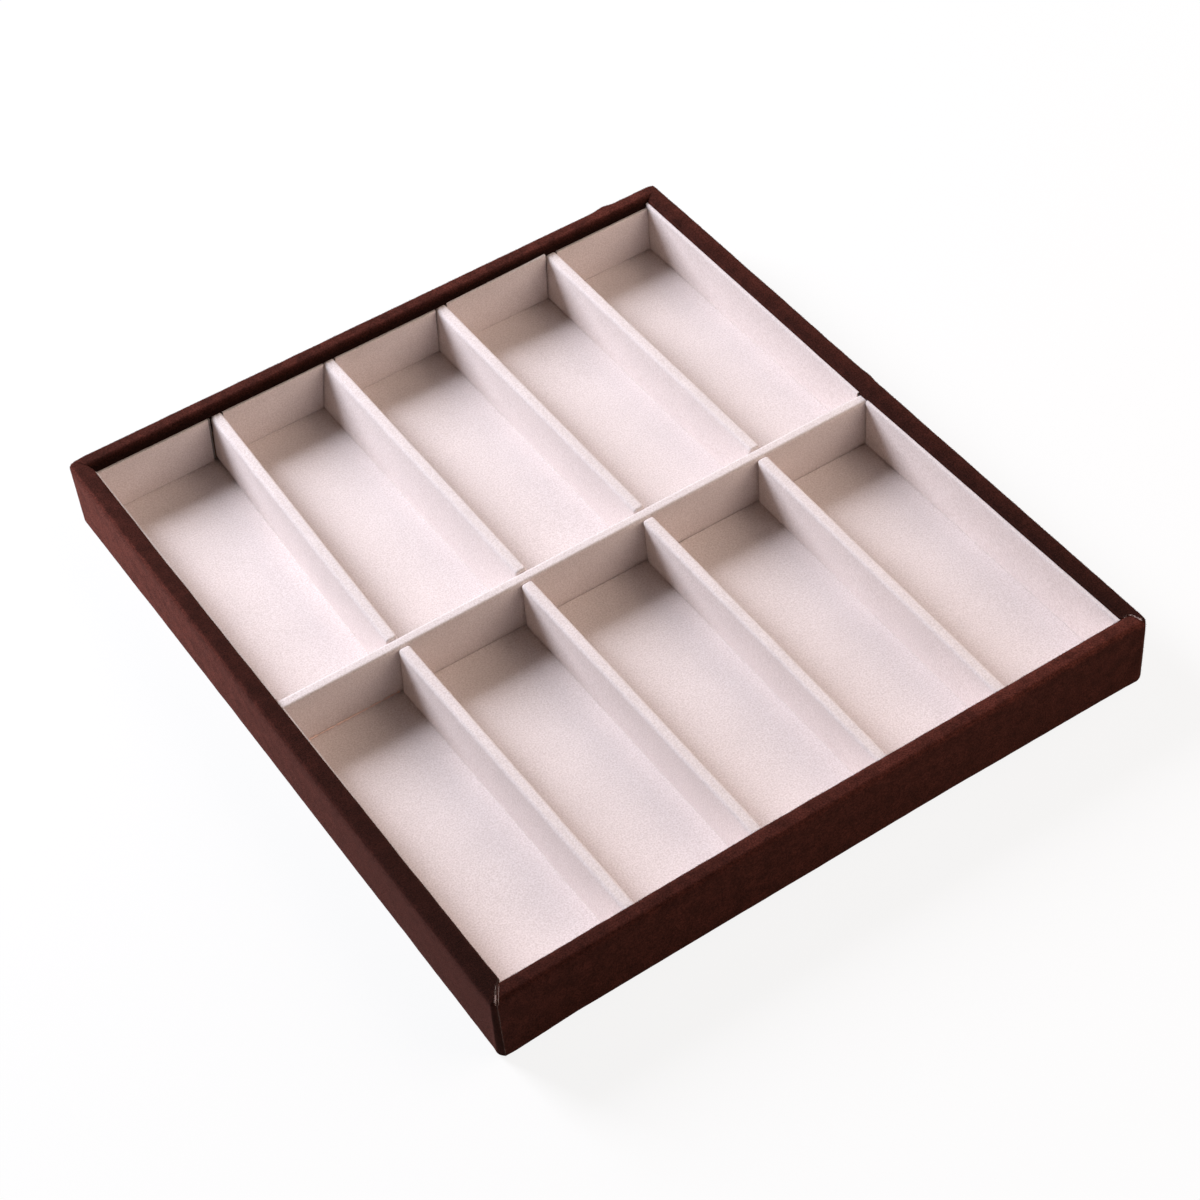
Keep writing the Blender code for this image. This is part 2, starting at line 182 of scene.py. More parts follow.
@dataclass(frozen=True)
class CutPileVelvet:
    """Polyester velvet with a short cut pile, steamed and brushed one way."""

    name: str = "cut_pile_polyester_velvet"
    pile_hex: str = "#1f100c"
    brushed_hex: str = "#5b2f27"
    backing_hex: str = "#8d7a70"
    sheen_hex: str = "#b06a5c"
    sheen_weight: float = 0.20
    nap_patch: float = 7 * MM
    # Real pile is about 0.15 mm from tuft to tuft; it is drawn at 0.7 mm so that it shows
    tuft_pitch: float = 0.7 * MM
    tuft_relief: float = 0.25 * MM

    def material(self) -> bpy.types.Material:
        """Builds the velvet: dark where the eye looks into the pile, lighter where the nap lies over, with a
        soft sheen at a grazing angle and a pale raw edge along the seams. The lay that it reads also holds
        painted light and shade.

        Returns:
            The material.
        """
        surface = SurfaceTree(self.name)
        place = surface.add("ShaderNodeTexCoord")["Object"]
        patches = surface.add(
            "ShaderNodeTexNoise",
            {"Vector": place, "Scale": 1 / self.nap_patch, "Detail": 4.0, "Roughness": 0.62},
        )["Fac"]
        tufts = surface.add(
            "ShaderNodeTexNoise",
            {"Vector": place, "Scale": 1 / self.tuft_pitch, "Detail": 2.0, "Roughness": 0.7},
        )["Fac"]
        # The pile's lay, which also holds painted light and shade: lighter where light falls, darker in
        # shade
        lay = surface.add("ShaderNodeAttribute", attribute_name="nap_lay")["Fac"]
        ruffled = surface.add(
            "ShaderNodeMapRange",
            {"Value": patches, "From Min": 0.34, "From Max": 0.66, "To Min": 0.6, "To Max": 1.4},
        )["Result"]
        lay_and_light = surface.add("ShaderNodeMath", {0: lay, 1: ruffled}, operation="MULTIPLY", use_clamp=True)[0]
        speckle = surface.add(
            "ShaderNodeMapRange",
            {"Value": tufts, "From Min": 0.38, "From Max": 0.62, "To Min": 0.6, "To Max": 1.4},
        )["Result"]
        nap = surface.add(
            "ShaderNodeMix",
            {0: lay_and_light, 6: linear_rgba(self.pile_hex), 7: linear_rgba(self.brushed_hex)},
            data_type="RGBA",
        )[2]
        tufted = surface.add("ShaderNodeVectorMath", {0: nap, "Scale": speckle}, operation="SCALE")[0]
        raw_edge = surface.add("ShaderNodeAttribute", attribute_name="raw_edge")["Fac"]
        frayed = surface.add("ShaderNodeMath", {0: raw_edge, 1: tufts}, operation="MULTIPLY")[0]
        edged = surface.add(
            "ShaderNodeMix", {0: frayed, 6: tufted, 7: linear_rgba(self.backing_hex)}, data_type="RGBA"
        )[2]
        relief = surface.add(
            "ShaderNodeBump", {"Strength": 0.55, "Distance": self.tuft_relief, "Height": tufts}
        )["Normal"]
        shader = surface.add(
            "ShaderNodeBsdfPrincipled",
            {
                "Base Color": edged, "Roughness": 0.95, "Specular IOR Level": 0.04, "Normal": relief,
                "Sheen Weight": self.sheen_weight, "Sheen Roughness": 0.45,
                "Sheen Tint": linear_rgba(self.sheen_hex),
            },
        )["BSDF"]
        return surface.close(shader)


@dataclass(frozen=True)
class BrushedSuede:
    """Polyester microsuede, knitted fine and brushed to a short matt nap."""

    name: str = "brushed_polyester_microsuede"
    nap_hex: str = "#efe4e0"
    hollow_hex: str = "#cebfb8"
    # The nap's grains are 0.2 mm across; they are drawn at 0.7 mm so that they show
    grain: float = 0.7 * MM
    grain_relief: float = 0.2 * MM
    stroke: float = 22 * MM

    def material(self) -> bpy.types.Material:
        """Builds the suede: a pale rose ground with a fine matt grain and faint cloudy strokes of the nap.

        Returns:
            The material.
        """
        surface = SurfaceTree(self.name)
        place = surface.add("ShaderNodeTexCoord")["Object"]
        grains = surface.add(
            "ShaderNodeTexNoise",
            {"Vector": place, "Scale": 1 / self.grain, "Detail": 3.0, "Roughness": 0.65},
        )["Fac"]
        strokes = surface.add(
            "ShaderNodeTexNoise",
            {"Vector": place, "Scale": 1 / self.stroke, "Detail": 3.0, "Roughness": 0.55},
        )["Fac"]
        hollow = surface.add(
            "ShaderNodeMapRange",
            {"Value": grains, "From Min": 0.36, "From Max": 0.64, "To Min": 0.75, "To Max": 0.0},
        )["Result"]
        cloud = surface.add(
            "ShaderNodeMapRange",
            {"Value": strokes, "From Min": 0.3, "From Max": 0.7, "To Min": 0.975, "To Max": 1.02},
        )["Result"]
        ground = surface.add(
            "ShaderNodeMix",
            {0: hollow, 6: linear_rgba(self.nap_hex), 7: linear_rgba(self.hollow_hex)},
            data_type="RGBA",
        )[2]
        clouded = surface.add("ShaderNodeVectorMath", {0: ground, "Scale": cloud}, operation="SCALE")[0]
        relief = surface.add(
            "ShaderNodeBump", {"Strength": 0.85, "Distance": self.grain_relief, "Height": grains}
        )["Normal"]
        shader = surface.add(
            "ShaderNodeBsdfPrincipled",
            {
                "Base Color": clouded, "Roughness": 0.95, "Specular IOR Level": 0.2, "Normal": relief,
                "Sheen Weight": 0.14, "Sheen Roughness": 0.6,
            },
        )["BSDF"]
        return surface.close(shader)


@dataclass(frozen=True)
class FibreStock:
    """Board or paper made of felted fibres, with flecks of other fibres in it."""

    name: str
    ground_hex: str
    fleck_hex: str
    felt: float
    fleck: float
    fleck_share: float
    roughness: float
    relief: float = 0.05 * MM

    def material(self) -> bpy.types.Material:
        """Builds the stock: a matt ground clouded by the felting, with scattered flecks and a faint tooth.

        Returns:
            The material.
        """
        surface = SurfaceTree(self.name)
        place = surface.add("ShaderNodeTexCoord")["Object"]
        felt = surface.add(
            "ShaderNodeTexNoise",
            {"Vector": place, "Scale": 1 / self.felt, "Detail": 5.0, "Roughness": 0.6},
        )["Fac"]
        flecks = surface.add(
            "ShaderNodeTexVoronoi", {"Vector": place, "Scale": 1 / self.fleck, "Randomness": 1.0}
        )["Distance"]
        spotted = surface.add(
            "ShaderNodeMapRange",
            {
                "Value": flecks, "From Min": self.fleck_share, "From Max": self.fleck_share * 0.4,
                "To Min": 0.0, "To Max": 0.7,
            },
        )["Result"]
        clouds = surface.add(
            "ShaderNodeMapRange",
            {"Value": felt, "From Min": 0.3, "From Max": 0.7, "To Min": 0.86, "To Max": 1.1},
        )["Result"]
        mixed = surface.add(
            "ShaderNodeMix",
            {0: spotted, 6: linear_rgba(self.ground_hex), 7: linear_rgba(self.fleck_hex)},
            data_type="RGBA",
        )[2]
        clouded = surface.add("ShaderNodeVectorMath", {0: mixed, "Scale": clouds}, operation="SCALE")[0]
        tooth = surface.add(
            "ShaderNodeBump", {"Strength": 0.6, "Distance": self.relief, "Height": felt}
        )["Normal"]
        shader = surface.add(
            "ShaderNodeBsdfPrincipled",
            {
                "Base Color": clouded, "Roughness": self.roughness, "Specular IOR Level": 0.25,
                "Normal": tooth,
            },
        )["BSDF"]
        return surface.close(shader)


@dataclass(frozen=True)
class LooseFibre:
    """Single fibres pulled out of a cloth, or drawn out of glue, each with a shade of its own."""

    name: str
    root_hex: str
    tip_hex: str
    sheen_weight: float = 0.04

    def material(self) -> bpy.types.Material:
        """Builds the fibres: each one its own shade between two, matt, as fine fibres look together.

        Returns:
            The material.
        """
        surface = SurfaceTree(self.name)
        shade = surface.add("ShaderNodeAttribute", attribute_name="fibre_shade")["Fac"]
        mixed = surface.add(
            "ShaderNodeMix",
            {0: shade, 6: linear_rgba(self.root_hex), 7: linear_rgba(self.tip_hex)},
            data_type="RGBA",
        )[2]
        shader = surface.add(
            "ShaderNodeBsdfPrincipled",
            {
                "Base Color": mixed, "Roughness": 0.9, "Specular IOR Level": 0.08,
                "Sheen Weight": self.sheen_weight,
            },
        )["BSDF"]
        return surface.close(shader)


@dataclass
class Finishes:
    """Every material of the tray, made once."""

    velvet: bpy.types.Material = field(init=False)
    suede: bpy.types.Material = field(init=False)
    pile: bpy.types.Material = field(init=False)
    yarn: bpy.types.Material = field(init=False)
    bright_yarn: bpy.types.Material = field(init=False)
    dull_yarn: bpy.types.Material = field(init=False)
    glue: bpy.types.Material = field(init=False)
    stock: dict[str, bpy.types.Material] = field(init=False)

    def __post_init__(self) -> None:
        """Builds the materials."""
        self.velvet = CutPileVelvet().material()
        self.suede = BrushedSuede().material()
        # Polyester tips of the pile: dark brown, redder where the light comes through them
        self.pile = LooseFibre("loose_velvet_pile", "#2a100b", "#5e3027").material()
        # Undyed backing yarn bared at a cut edge: beige; a copy with a painted highlight, nearly white where
        # it catches the lamp; and a darker copy
        self.yarn = LooseFibre("frayed_backing_yarn", "#8a6c60", "#e0cdc4").material()
        self.bright_yarn = LooseFibre("frayed_yarn_painted_highlight", "#b8988e", "#fbe6df").material()
        self.dull_yarn = LooseFibre("dull_backing_yarn", "#3d2a26", "#7d6861").material()
        # Contact glue squeezed out along a foot and dried: matt, and warm in the shade of the divider
        self.glue = LooseFibre("dried_contact_glue", "#ecccbc", "#fce4da").material()
        self.stock = {
            # Pulp board pressed from waste paper: mid grey with dark and pale flecks
            "grey_board": FibreStock(
                "pressed_grey_pulp_board", "#97918a", "#5f5a55", 1.2 * MM, 2.4 * MM, 0.16, 0.9
            ).material(),
            # Wood fibres pressed hot: brown, with darker bark flecks
            "brown_fibreboard": FibreStock(
                "hot_pressed_fibreboard", "#8a6b50", "#5c4230", 0.9 * MM, 2.0 * MM, 0.2, 0.85
            ).material(),
            # Short fibres glued to paper: nearly black brown and quite matt
            "flocked_paper": FibreStock(
                "flock_sprayed_paper", "#2c1b19", "#3f2a27", 0.5 * MM, 1.5 * MM, 0.3, 0.95, 0.1 * MM
            ).material(),
        }


class ShapeTree(NodeWork):
    """A Geometry Nodes tree with named inputs, run once for each piece that it makes."""

    def __init__(self, name: str, inputs: dict[str, tuple[str, ...]]) -> None:
        """Starts the tree.

        Args:
            name: The tree's name.
            inputs: For each kind of socket, Float, Int, Vector or Material, the names of its inputs.
        """
        super().__init__(bpy.data.node_groups.new(name, "GeometryNodeTree"))
        face = self.tree.interface
        face.new_socket("Base", in_out="INPUT", socket_type="NodeSocketGeometry")
        self.sockets = {
            label: face.new_socket(label, in_out="INPUT", socket_type="NodeSocket" + kind)
            for kind, labels in inputs.items()
            for label in labels
        }
        face.new_socket("Piece", in_out="OUTPUT", socket_type="NodeSocketGeometry")
        self.given = self.add("NodeGroupInput")

    def close(self, shape: bpy.types.NodeSocket) -> None:
        """Ends the tree by realising the shape and giving it its material.

        Args:
            shape: The shape, which may still be instances.
        """
        real = self.add("GeometryNodeRealizeInstances", {"Geometry": shape})[0]
        smooth = self.add("GeometryNodeSetShadeSmooth", {"Geometry": real})[0]
        dressed = self.add(
            "GeometryNodeSetMaterial", {"Geometry": smooth, "Material": self.given["Material"]}
        )[0]
        self.add("NodeGroupOutput", {"Piece": dressed})

    def grow(
        self, name: str, values: dict[str, Any], base: bpy.types.Mesh | None = None
    ) -> bpy.types.Object:
        """Runs the tree and keeps the result as a plain mesh.

        Args:
            name: The new piece's name.
            values: A value for each named input.
            base: The mesh that the tree starts from, where it needs one.

        Returns:
            The new object, with no modifier on it.
        """
        start = put(name, base or bpy.data.meshes.new(name))
        run = start.modifiers.new("shape", "NODES")
        run.node_group = self.tree
        for label, socket in self.sockets.items():
            run[socket.identifier] = values[label]
        graph = bpy.context.evaluated_depsgraph_get()
        graph.update()
        mesh = bpy.data.meshes.new_from_object(start.evaluated_get(graph), depsgraph=graph)
        mesh.name = name
        bpy.data.objects.remove(start)
        return put(name, mesh)


def dress(
    piece: bpy.types.Object, replaced: tuple[str, ...] = (), sharp_degrees: float = 50.0
) -> bpy.types.Object:
    """Ties a finished piece to the tray.

    Args:
        piece: The piece, in place.
        replaced: The CAD nodes that it stands for.
        sharp_degrees: Edges that turn by more than this stay sharp.

    Returns:
        The same piece.
    """
    piece.data.set_sharp_from_angle(angle=math.radians(sharp_degrees))
    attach(piece, "root")
    if replaced:
        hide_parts(*replaced)
    log.info("%s: %d faces", piece.name, len(piece.data.polygons))
    return piece


class CoverTree(ShapeTree):
    """The rule for every suede cover: a cap of cloth with rounded edges over a board, and bent with it."""

    def __init__(self) -> None:
        """Builds the tree."""
        super().__init__(
            "suede_cover",
            {
                "Vector": ("Size", "Crowding", "Edge Radii", "Rounded Low", "Rounded High", "Turn", "Place"),
                "Int": ("Columns", "Rows", "Tiers"),
                "Float": (
                    "Cloth", "Open Back", "Open Ends", "Near Shift", "Far Shift", "Lean", "Near Lean",
                    "Far Lean", "Near Rise", "Far Rise", "Far Foot", "Ripple", "Ripple Length", "Seed",
                ),
                "Material": ("Material",),
            },
        )
        rounded, spot = self._rounded(self._open_block())
        shell = self._with_thickness(self._bent(rounded, spot))
        placed = self.add(
            "GeometryNodeTransform",
            {"Geometry": shell, "Rotation": self.given["Turn"], "Translation": self.given["Place"]},
        )[0]
        self.close(placed)

    def _open_block(self) -> bpy.types.NodeSocket:
        """Makes a block without its bottom, and without its back and ends where those are open.

        Returns:
            The block's shape.
        """
        given = self.given
        block = self.add(
            "GeometryNodeMeshCube",
            {
                "Size": given["Size"], "Vertices X": given["Columns"], "Vertices Y": given["Rows"],
                "Vertices Z": given["Tiers"],
            },
        )["Mesh"]
        facing = self.add("ShaderNodeSeparateXYZ", {0: self.add("GeometryNodeInputNormal")[0]})
        back = self.chain(
            "ShaderNodeMath", facing["X"], ("LESS_THAN", {1: -0.5}), ("MULTIPLY", {1: given["Open Back"]})
        )
        ends = self.chain(
            "ShaderNodeMath", facing["Y"], ("ABSOLUTE", {}), ("GREATER_THAN", {1: 0.5}),
            ("MULTIPLY", {1: given["Open Ends"]}),
        )
        gone = self.chain(
            "ShaderNodeMath", facing["Z"], ("LESS_THAN", {1: -0.5}), ("MAXIMUM", {1: back}),
            ("MAXIMUM", {1: ends}),
        )
        return self.add(
            "GeometryNodeDeleteGeometry", {"Geometry": block, "Selection": gone}, domain="FACE"
        )[0]

    def _rounded(self, block: bpy.types.NodeSocket) -> tuple[bpy.types.NodeSocket, bpy.types.NodeSocket]:
        """Crowds the block's lines of points towards its edges, and rounds the marked edges.

        Args:
            block: The block's shape.

        Returns:
            The new shape, and the places of its points.
        """
        size, radii = self.given["Size"], self.given["Edge Radii"]
        share = self.chain(
            "ShaderNodeVectorMath", self.add("GeometryNodeInputPosition")[0], ("DIVIDE", {1: size}),
            ("ADD", {1: (0.5, 0.5, 0.5)}),
        )
        crowd = self.chain(
            "ShaderNodeVectorMath", share, ("SCALE", {"Scale": math.tau}), ("SINE", {}),
            ("MULTIPLY", {1: self.given["Crowding"]}), ("SCALE", {"Scale": 1 / math.tau}),
        )
        spot = self.chain("ShaderNodeVectorMath", share, ("SUBTRACT", {1: crowd}), ("MULTIPLY", {1: size}))
        low, off_high = (
            self.chain("ShaderNodeVectorMath", radii, ("MULTIPLY", {1: self.given[f"Rounded {end}"]}))
            for end in ("Low", "High")
        )
        high = self.chain("ShaderNodeVectorMath", size, ("SUBTRACT", {1: off_high}))
        core = self.chain("ShaderNodeVectorMath", spot, ("MAXIMUM", {1: low}), ("MINIMUM", {1: high}))
        rounded = self.chain(
            "ShaderNodeVectorMath", spot, ("SUBTRACT", {1: core}), ("DIVIDE", {1: radii}), ("NORMALIZE", {}),
            ("MULTIPLY", {1: radii}), ("ADD", {1: core}),
        )
        moved = self.add("GeometryNodeSetPosition", {"Geometry": block, "Position": rounded})[0]
        return moved, self.add("GeometryNodeInputPosition")[0]

    def _bent(self, shape: bpy.types.NodeSocket, spot: bpy.types.NodeSocket) -> bpy.types.NodeSocket:
        """Shifts and leans the cap as its board was set, and gives it the cloth's slight ripples.

        Args:
            shape: The cap.
            spot: The places of its points.

        Returns:
            The new shape.
        """
        given = self.given
        at = self.add("ShaderNodeSeparateXYZ", {0: spot})
        size = self.add("ShaderNodeSeparateXYZ", {0: given["Size"]})
        along = self.chain("ShaderNodeMath", at["Y"], ("DIVIDE", {1: size["Y"]}))
        below = self.chain("ShaderNodeMath", at["Z"], ("SUBTRACT", {1: size["Z"]}))
        high = self.chain("ShaderNodeMath", at["Z"], ("DIVIDE", {1: size["Z"]}))
        shift, end_lean, rise = (
            self.add(
                "ShaderNodeMix", {0: along, 2: given[f"Near {kind}"], 3: given[f"Far {kind}"]},
                data_type="FLOAT", clamp_factor=False,
            )[0]
            for kind in ("Shift", "Lean", "Rise")
        )
        # The foot of a loosely set divider stands off the floor over the last fifth of its length
        loose = self.chain(
            "ShaderNodeMath", along, ("MULTIPLY", {1: 5.0}), ("SUBTRACT", {1: 4.0}), ("MAXIMUM", {1: 0.0}),
            ("MULTIPLY", {1: given["Far Foot"]}),
        )
        foot = self.chain("ShaderNodeMath", 1.0, ("SUBTRACT", {1: high}), ("MULTIPLY", {1: loose}))
        lift = self.chain("ShaderNodeMath", high, ("MULTIPLY", {1: rise}), ("ADD", {1: foot}))
        across = self.chain("ShaderNodeMath", given["Lean"], ("MULTIPLY", {1: below}), ("ADD", {1: shift}))
        endways = self.chain("ShaderNodeMath", end_lean, ("MULTIPLY", {1: below}))
        lean = self.add("ShaderNodeCombineXYZ", {"X": across, "Y": endways, "Z": lift})[0]
        fineness = self.chain("ShaderNodeMath", 1.0, ("DIVIDE", {1: given["Ripple Length"]}))
        ripples = self.add(
            "ShaderNodeTexNoise",
            {"Vector": spot, "W": given["Seed"], "Scale": fineness, "Detail": 2.0, "Roughness": 0.4},
            noise_dimensions="4D",
        )["Color"]
        offset = self.chain(
            "ShaderNodeVectorMath", ripples, ("SUBTRACT", {1: (0.5, 0.5, 0.5)}),
            ("SCALE", {"Scale": given["Ripple"]}), ("ADD", {1: lean}),
        )
        return self.add("GeometryNodeSetPosition", {"Geometry": shape, "Offset": offset})[0]

    def _with_thickness(self, sheet: bpy.types.NodeSocket) -> bpy.types.NodeSocket:
        """Adds the cap's inner face and its cut edge to its outer face.

        Args:
            sheet: The outer face.

        Returns:
            The closed shape.
        """
        inward = self.chain("ShaderNodeMath", self.given["Cloth"], ("MULTIPLY", {1: -1.0}))
        inner = self.add(
            "GeometryNodeExtrudeMesh", {"Mesh": sheet, "Offset Scale": inward, "Individual": False}
        )["Mesh"]
        turned = self.add("GeometryNodeFlipFaces", {"Mesh": inner})[0]
        joined = self.add("GeometryNodeJoinGeometry", {0: [sheet, turned]})[0]
        return self.add("GeometryNodeMergeByDistance", {"Geometry": joined, "Distance": 1e-7})[0]


class Row(Enum):
    """The two rows of compartments."""

    FRONT = "front"
    BACK = "back"


class Wall(Enum):
    """The four walls."""

    FRONT = "front"
    BACK = "back"
    LEFT = "left"
    RIGHT = "right"


@dataclass
class SuedeLining:
    """The pale covers inside the tray: two floors, nine dividers and fourteen wall liners."""

    finishes: Finishes
    half_width: float = HALF_WIDTH
    half_depth: float = HALF_DEPTH
    liner_back: float = 7.1 * MM
    liner_face: float = 9.0 * MM
    card_bottom: float = 4.3 * MM
    floor_top: float = 6.2 * MM
    lining_bottom: float = 6.35 * MM
    lining_top: float = 31.0 * MM
    divider_thickness: float = 5.4 * MM
    divider_cloth: float = 0.7 * MM
    cloth: float = 0.6 * MM
    end_gap: float = 0.5 * MM
    corner_gap: float = 0.2 * MM
    seat_gap: float = 0.3 * MM
    floor_radius: float = 0.3 * MM
    divider_radii: tuple[float, float, float] = (1.5 * MM, 1.4 * MM, 1.3 * MM)
    # The cloth is rolled tightly over the liners, and more loosely over those of the right wall
    liner_radius: float = 0.35 * MM
    right_liner_radius: float = 0.8 * MM
    # How many points the covers have across, along and up; those of a liner lie a pitch apart
    floor_grid: tuple[int, int, int] = (110, 64, 4)
    centre_grid: tuple[int, int, int] = (13, 121, 18)
    divider_grid: tuple[int, int, int] = (13, 81, 18)
    liner_grid: tuple[int, int, int] = (5, 9, 13)
    liner_pitch: float = 2.4 * MM
    # For each divider of a row: how far it is off its even place at the wall and at the centre, as shares
    # of a compartment, and how much it leans
    offs: dict[Row, tuple[tuple[float, float, float], ...]] = field(
        default_factory=lambda: {
            Row.FRONT: (
                (0.005, -0.020, 0.05), (-0.005, -0.018, 0.0), (0.0, 0.012, -0.03), (-0.020, 0.015, 0.0)
            ),
            Row.BACK: (
                (0.052, -0.048, 0.06), (0.024, 0.020, 0.16), (0.026, 0.022, 0.05), (0.044, 0.040, 0.05)
            ),
        }
    )
    # How far each liner stands above the common height at its two ends, in millimetres
    rises_mm: dict[Row, tuple[tuple[float, float], ...]] = field(
        default_factory=lambda: {
            Row.FRONT: ((-0.2, -0.2), (-0.3, -0.3), (-0.1, -0.1), (-0.2, -0.2), (-0.2, -0.2)),
            Row.BACK: ((-0.2, -0.2), (-0.1, -0.1), (-0.2, -0.2), (0.5, 1.3), (-0.2, -0.2)),
        }
    )
    side_rises_mm: dict[tuple[Wall, Row], tuple[float, float]] = field(
        default_factory=lambda: {
            (Wall.LEFT, Row.FRONT): (0.5, 0.5), (Wall.LEFT, Row.BACK): (0.5, 0.5),
            (Wall.RIGHT, Row.FRONT): (2.7, 0.8), (Wall.RIGHT, Row.BACK): (0.9, 1.6),
        }
    )
    # The first liner of the back wall was cut short, and the divider beside it isn't pressed down there
    short_liner: tuple[str, float] = ("back_liner_1", 1.3 * MM)
    loose_divider: tuple[str, float] = ("back_divider_suede_1", 1.6 * MM)

    def __post_init__(self) -> None:
        """Prepares the rule for the covers and the derived sizes and places."""
        self.rule = CoverTree()
        self.row_far = self.half_depth - self.liner_back
        self.half_seat = self.divider_thickness / 2 + self.end_gap
        self.row_length = self.row_far - self.half_seat
        self.lining_height = self.lining_top - self.lining_bottom
        self.dividers = len(self.offs[Row.FRONT])
        span = (self.half_width - self.liner_face) * 2
        self.compartment = (span - self.divider_thickness * self.dividers) / (self.dividers + 1)

    def cover(self, name: str, node: str, board: str, flat: tuple[float, float], **values: Any) -> None:
        """Makes one cover and ties it to the tray.

        Args:
            name: The new piece's name.
            node: The CAD cloth that it stands for.
            board: The CAD board that it is glued over; not used.
            flat: Width and length of the cloth as it was cut; not used.
            **values: The inputs of the rule that differ from its usual ones, with _ for each space.
        """
        usual = {
            "Crowding": (0.0, 0.85, 0.7), "Rounded Low": (1.0, 1.0, 0.0), "Rounded High": (1.0, 1.0, 1.0),
            "Cloth": self.cloth, "Open Back": 0.0, "Open Ends": 0.0, "Near Shift": 0.0, "Far Shift": 0.0,
            "Lean": 0.0, "Near Lean": 0.0, "Far Lean": 0.0, "Near Rise": 0.0, "Far Rise": 0.0,
            "Far Foot": 0.0, "Ripple": 0.35 * MM, "Ripple Length": 26 * MM, "Turn": (0.0, 0.0, 0.0),
            "Material": self.finishes.suede, "Seed": float(sum(map(ord, name)) % 97),
        }
        named = {key.replace("_", " ").title(): value for key, value in values.items()}
        piece = self.rule.grow(name, usual | named)
        dress(piece, (node,))

    def middles(self) -> list[float]:
        """The even places of the short dividers along a row."""
        pitch = self.compartment + self.divider_thickness
        return [pitch * (i - (self.dividers - 1) / 2) for i in range(self.dividers)]

    def add_floors(self) -> None:
        """Lays the cloth-covered cards of the two rows."""
        width = (self.half_width - self.liner_back) * 2
        near = self.divider_thickness / 2 + self.seat_gap
        depth = self.row_far - near
        columns, rows, tiers = self.floor_grid
        for row, start in ((Row.FRONT, -self.row_far), (Row.BACK, near)):
            label = f"{row.value}_floor"
            self.cover(
                f"{label}_suede", f"{label}_cloth", f"{label}_card", (width, depth),
                size=(width, depth, self.floor_top - self.card_bottom),
                columns=columns, rows=rows, tiers=tiers, crowding=(0.0, 0.0, 0.0),
                edge_radii=(self.floor_radius,) * 3, ripple=0.3 * MM, ripple_length=34 * MM,
                place=(-width / 2, start, self.card_bottom),
            )

    def add_dividers(self) -> None:
        """Sets the long divider and the eight short ones, each leaning as it was glued."""
        full = (self.half_width - self.liner_back) * 2
        height = self.lining_top - self.card_bottom
        columns, rows, tiers = self.centre_grid
        self.cover(
            "centre_divider_suede", "centre_divider_cloth", "centre_divider_board",
            (self.divider_thickness + height * 2, full),
            size=(self.divider_thickness, full, height), columns=columns, rows=rows, tiers=tiers,
            edge_radii=self.divider_radii, rounded_low=(1.0, 0.0, 0.0), rounded_high=(1.0, 0.0, 1.0),
            cloth=self.divider_cloth, ripple=0.3 * MM, turn=(0.0, 0.0, -math.pi / 2),
            place=(-full / 2, self.divider_thickness / 2, self.card_bottom),
        )
        height = self.lining_height
        columns, rows, tiers = self.divider_grid
        for row, offs in self.offs.items():
            start = -self.row_far if row is Row.FRONT else self.half_seat
            for i, (middle, (wall, centre, lean)) in enumerate(zip(self.middles(), offs), 1):
                near, far = (wall, centre) if row is Row.FRONT else (centre, wall)
                name = f"{row.value}_divider_suede_{i}"
                loose_name, loose_foot = self.loose_divider
                self.cover(
                    name, name.replace("suede", "cloth"), name.replace("suede", "board"),
                    (self.divider_thickness + height * 2, self.row_length),
                    size=(self.divider_thickness, self.row_length, height),
                    columns=columns, rows=rows, tiers=tiers,
                    edge_radii=self.divider_radii, cloth=self.divider_cloth, lean=lean,
                    near_shift=near * self.compartment, far_shift=far * self.compartment,
                    far_foot=loose_foot if name == loose_name else 0.0,
                    place=(middle - self.divider_thickness / 2, start, self.lining_bottom),
                )

    def liner(
        self, name: str, wall: Wall, start: tuple[float, float], end: tuple[float, float],
        rises_mm: tuple[float, float],
    ) -> None:
        """Glues one liner to a wall.

        Args:
            name: The liner's name without its material.
            wall: The wall that it stands against.
            start: Its lower end along the wall at the lining's top, and how that end leans.
            end: Its upper end and that end's lean.
            rises_mm: How far it stands above the common height at its lower and its upper end.
        """
        if name == self.short_liner[0]:
            end = (end[0] - self.short_liner[1], end[1])
        flip = 1 if wall in (Wall.LEFT, Wall.BACK) else -1
        near, far = (start, end)[::flip]
        near_rise, far_rise = (rise * MM for rise in rises_mm[::flip])
        across, along = self.half_width - self.liner_back, self.half_depth - self.liner_back
        turn, place = {
            Wall.LEFT: (0.0, (-across, near[0])), Wall.RIGHT: (math.pi, (across, near[0])),
            Wall.FRONT: (math.pi / 2, (near[0], -along)), Wall.BACK: (-math.pi / 2, (near[0], along)),
        }[wall]
        length, depth, height = end[0] - start[0], self.liner_face - self.liner_back, self.lining_height
        radius = self.right_liner_radius if wall is Wall.RIGHT else self.liner_radius
        columns, fewest_rows, tiers = self.liner_grid
        self.cover(
            name.replace("liner", "liner_suede"), name.replace("liner", "liner_cloth"),
            name.replace("liner", "liner_card"), (height + depth, length), size=(depth, length, height),
            columns=columns, rows=max(fewest_rows, round(length / self.liner_pitch)), tiers=tiers,
            edge_radii=(radius, self.liner_radius, radius), rounded_low=(0.0, 0.0, 0.0),
            rounded_high=(1.0, 0.0, 1.0), open_back=1.0, open_ends=1.0, near_lean=near[1] * flip,
            far_lean=far[1] * flip, near_rise=near_rise, far_rise=far_rise, ripple=0.25 * MM,
            ripple_length=18 * MM, turn=(0.0, 0.0, turn), place=(*place, self.lining_bottom),
        )

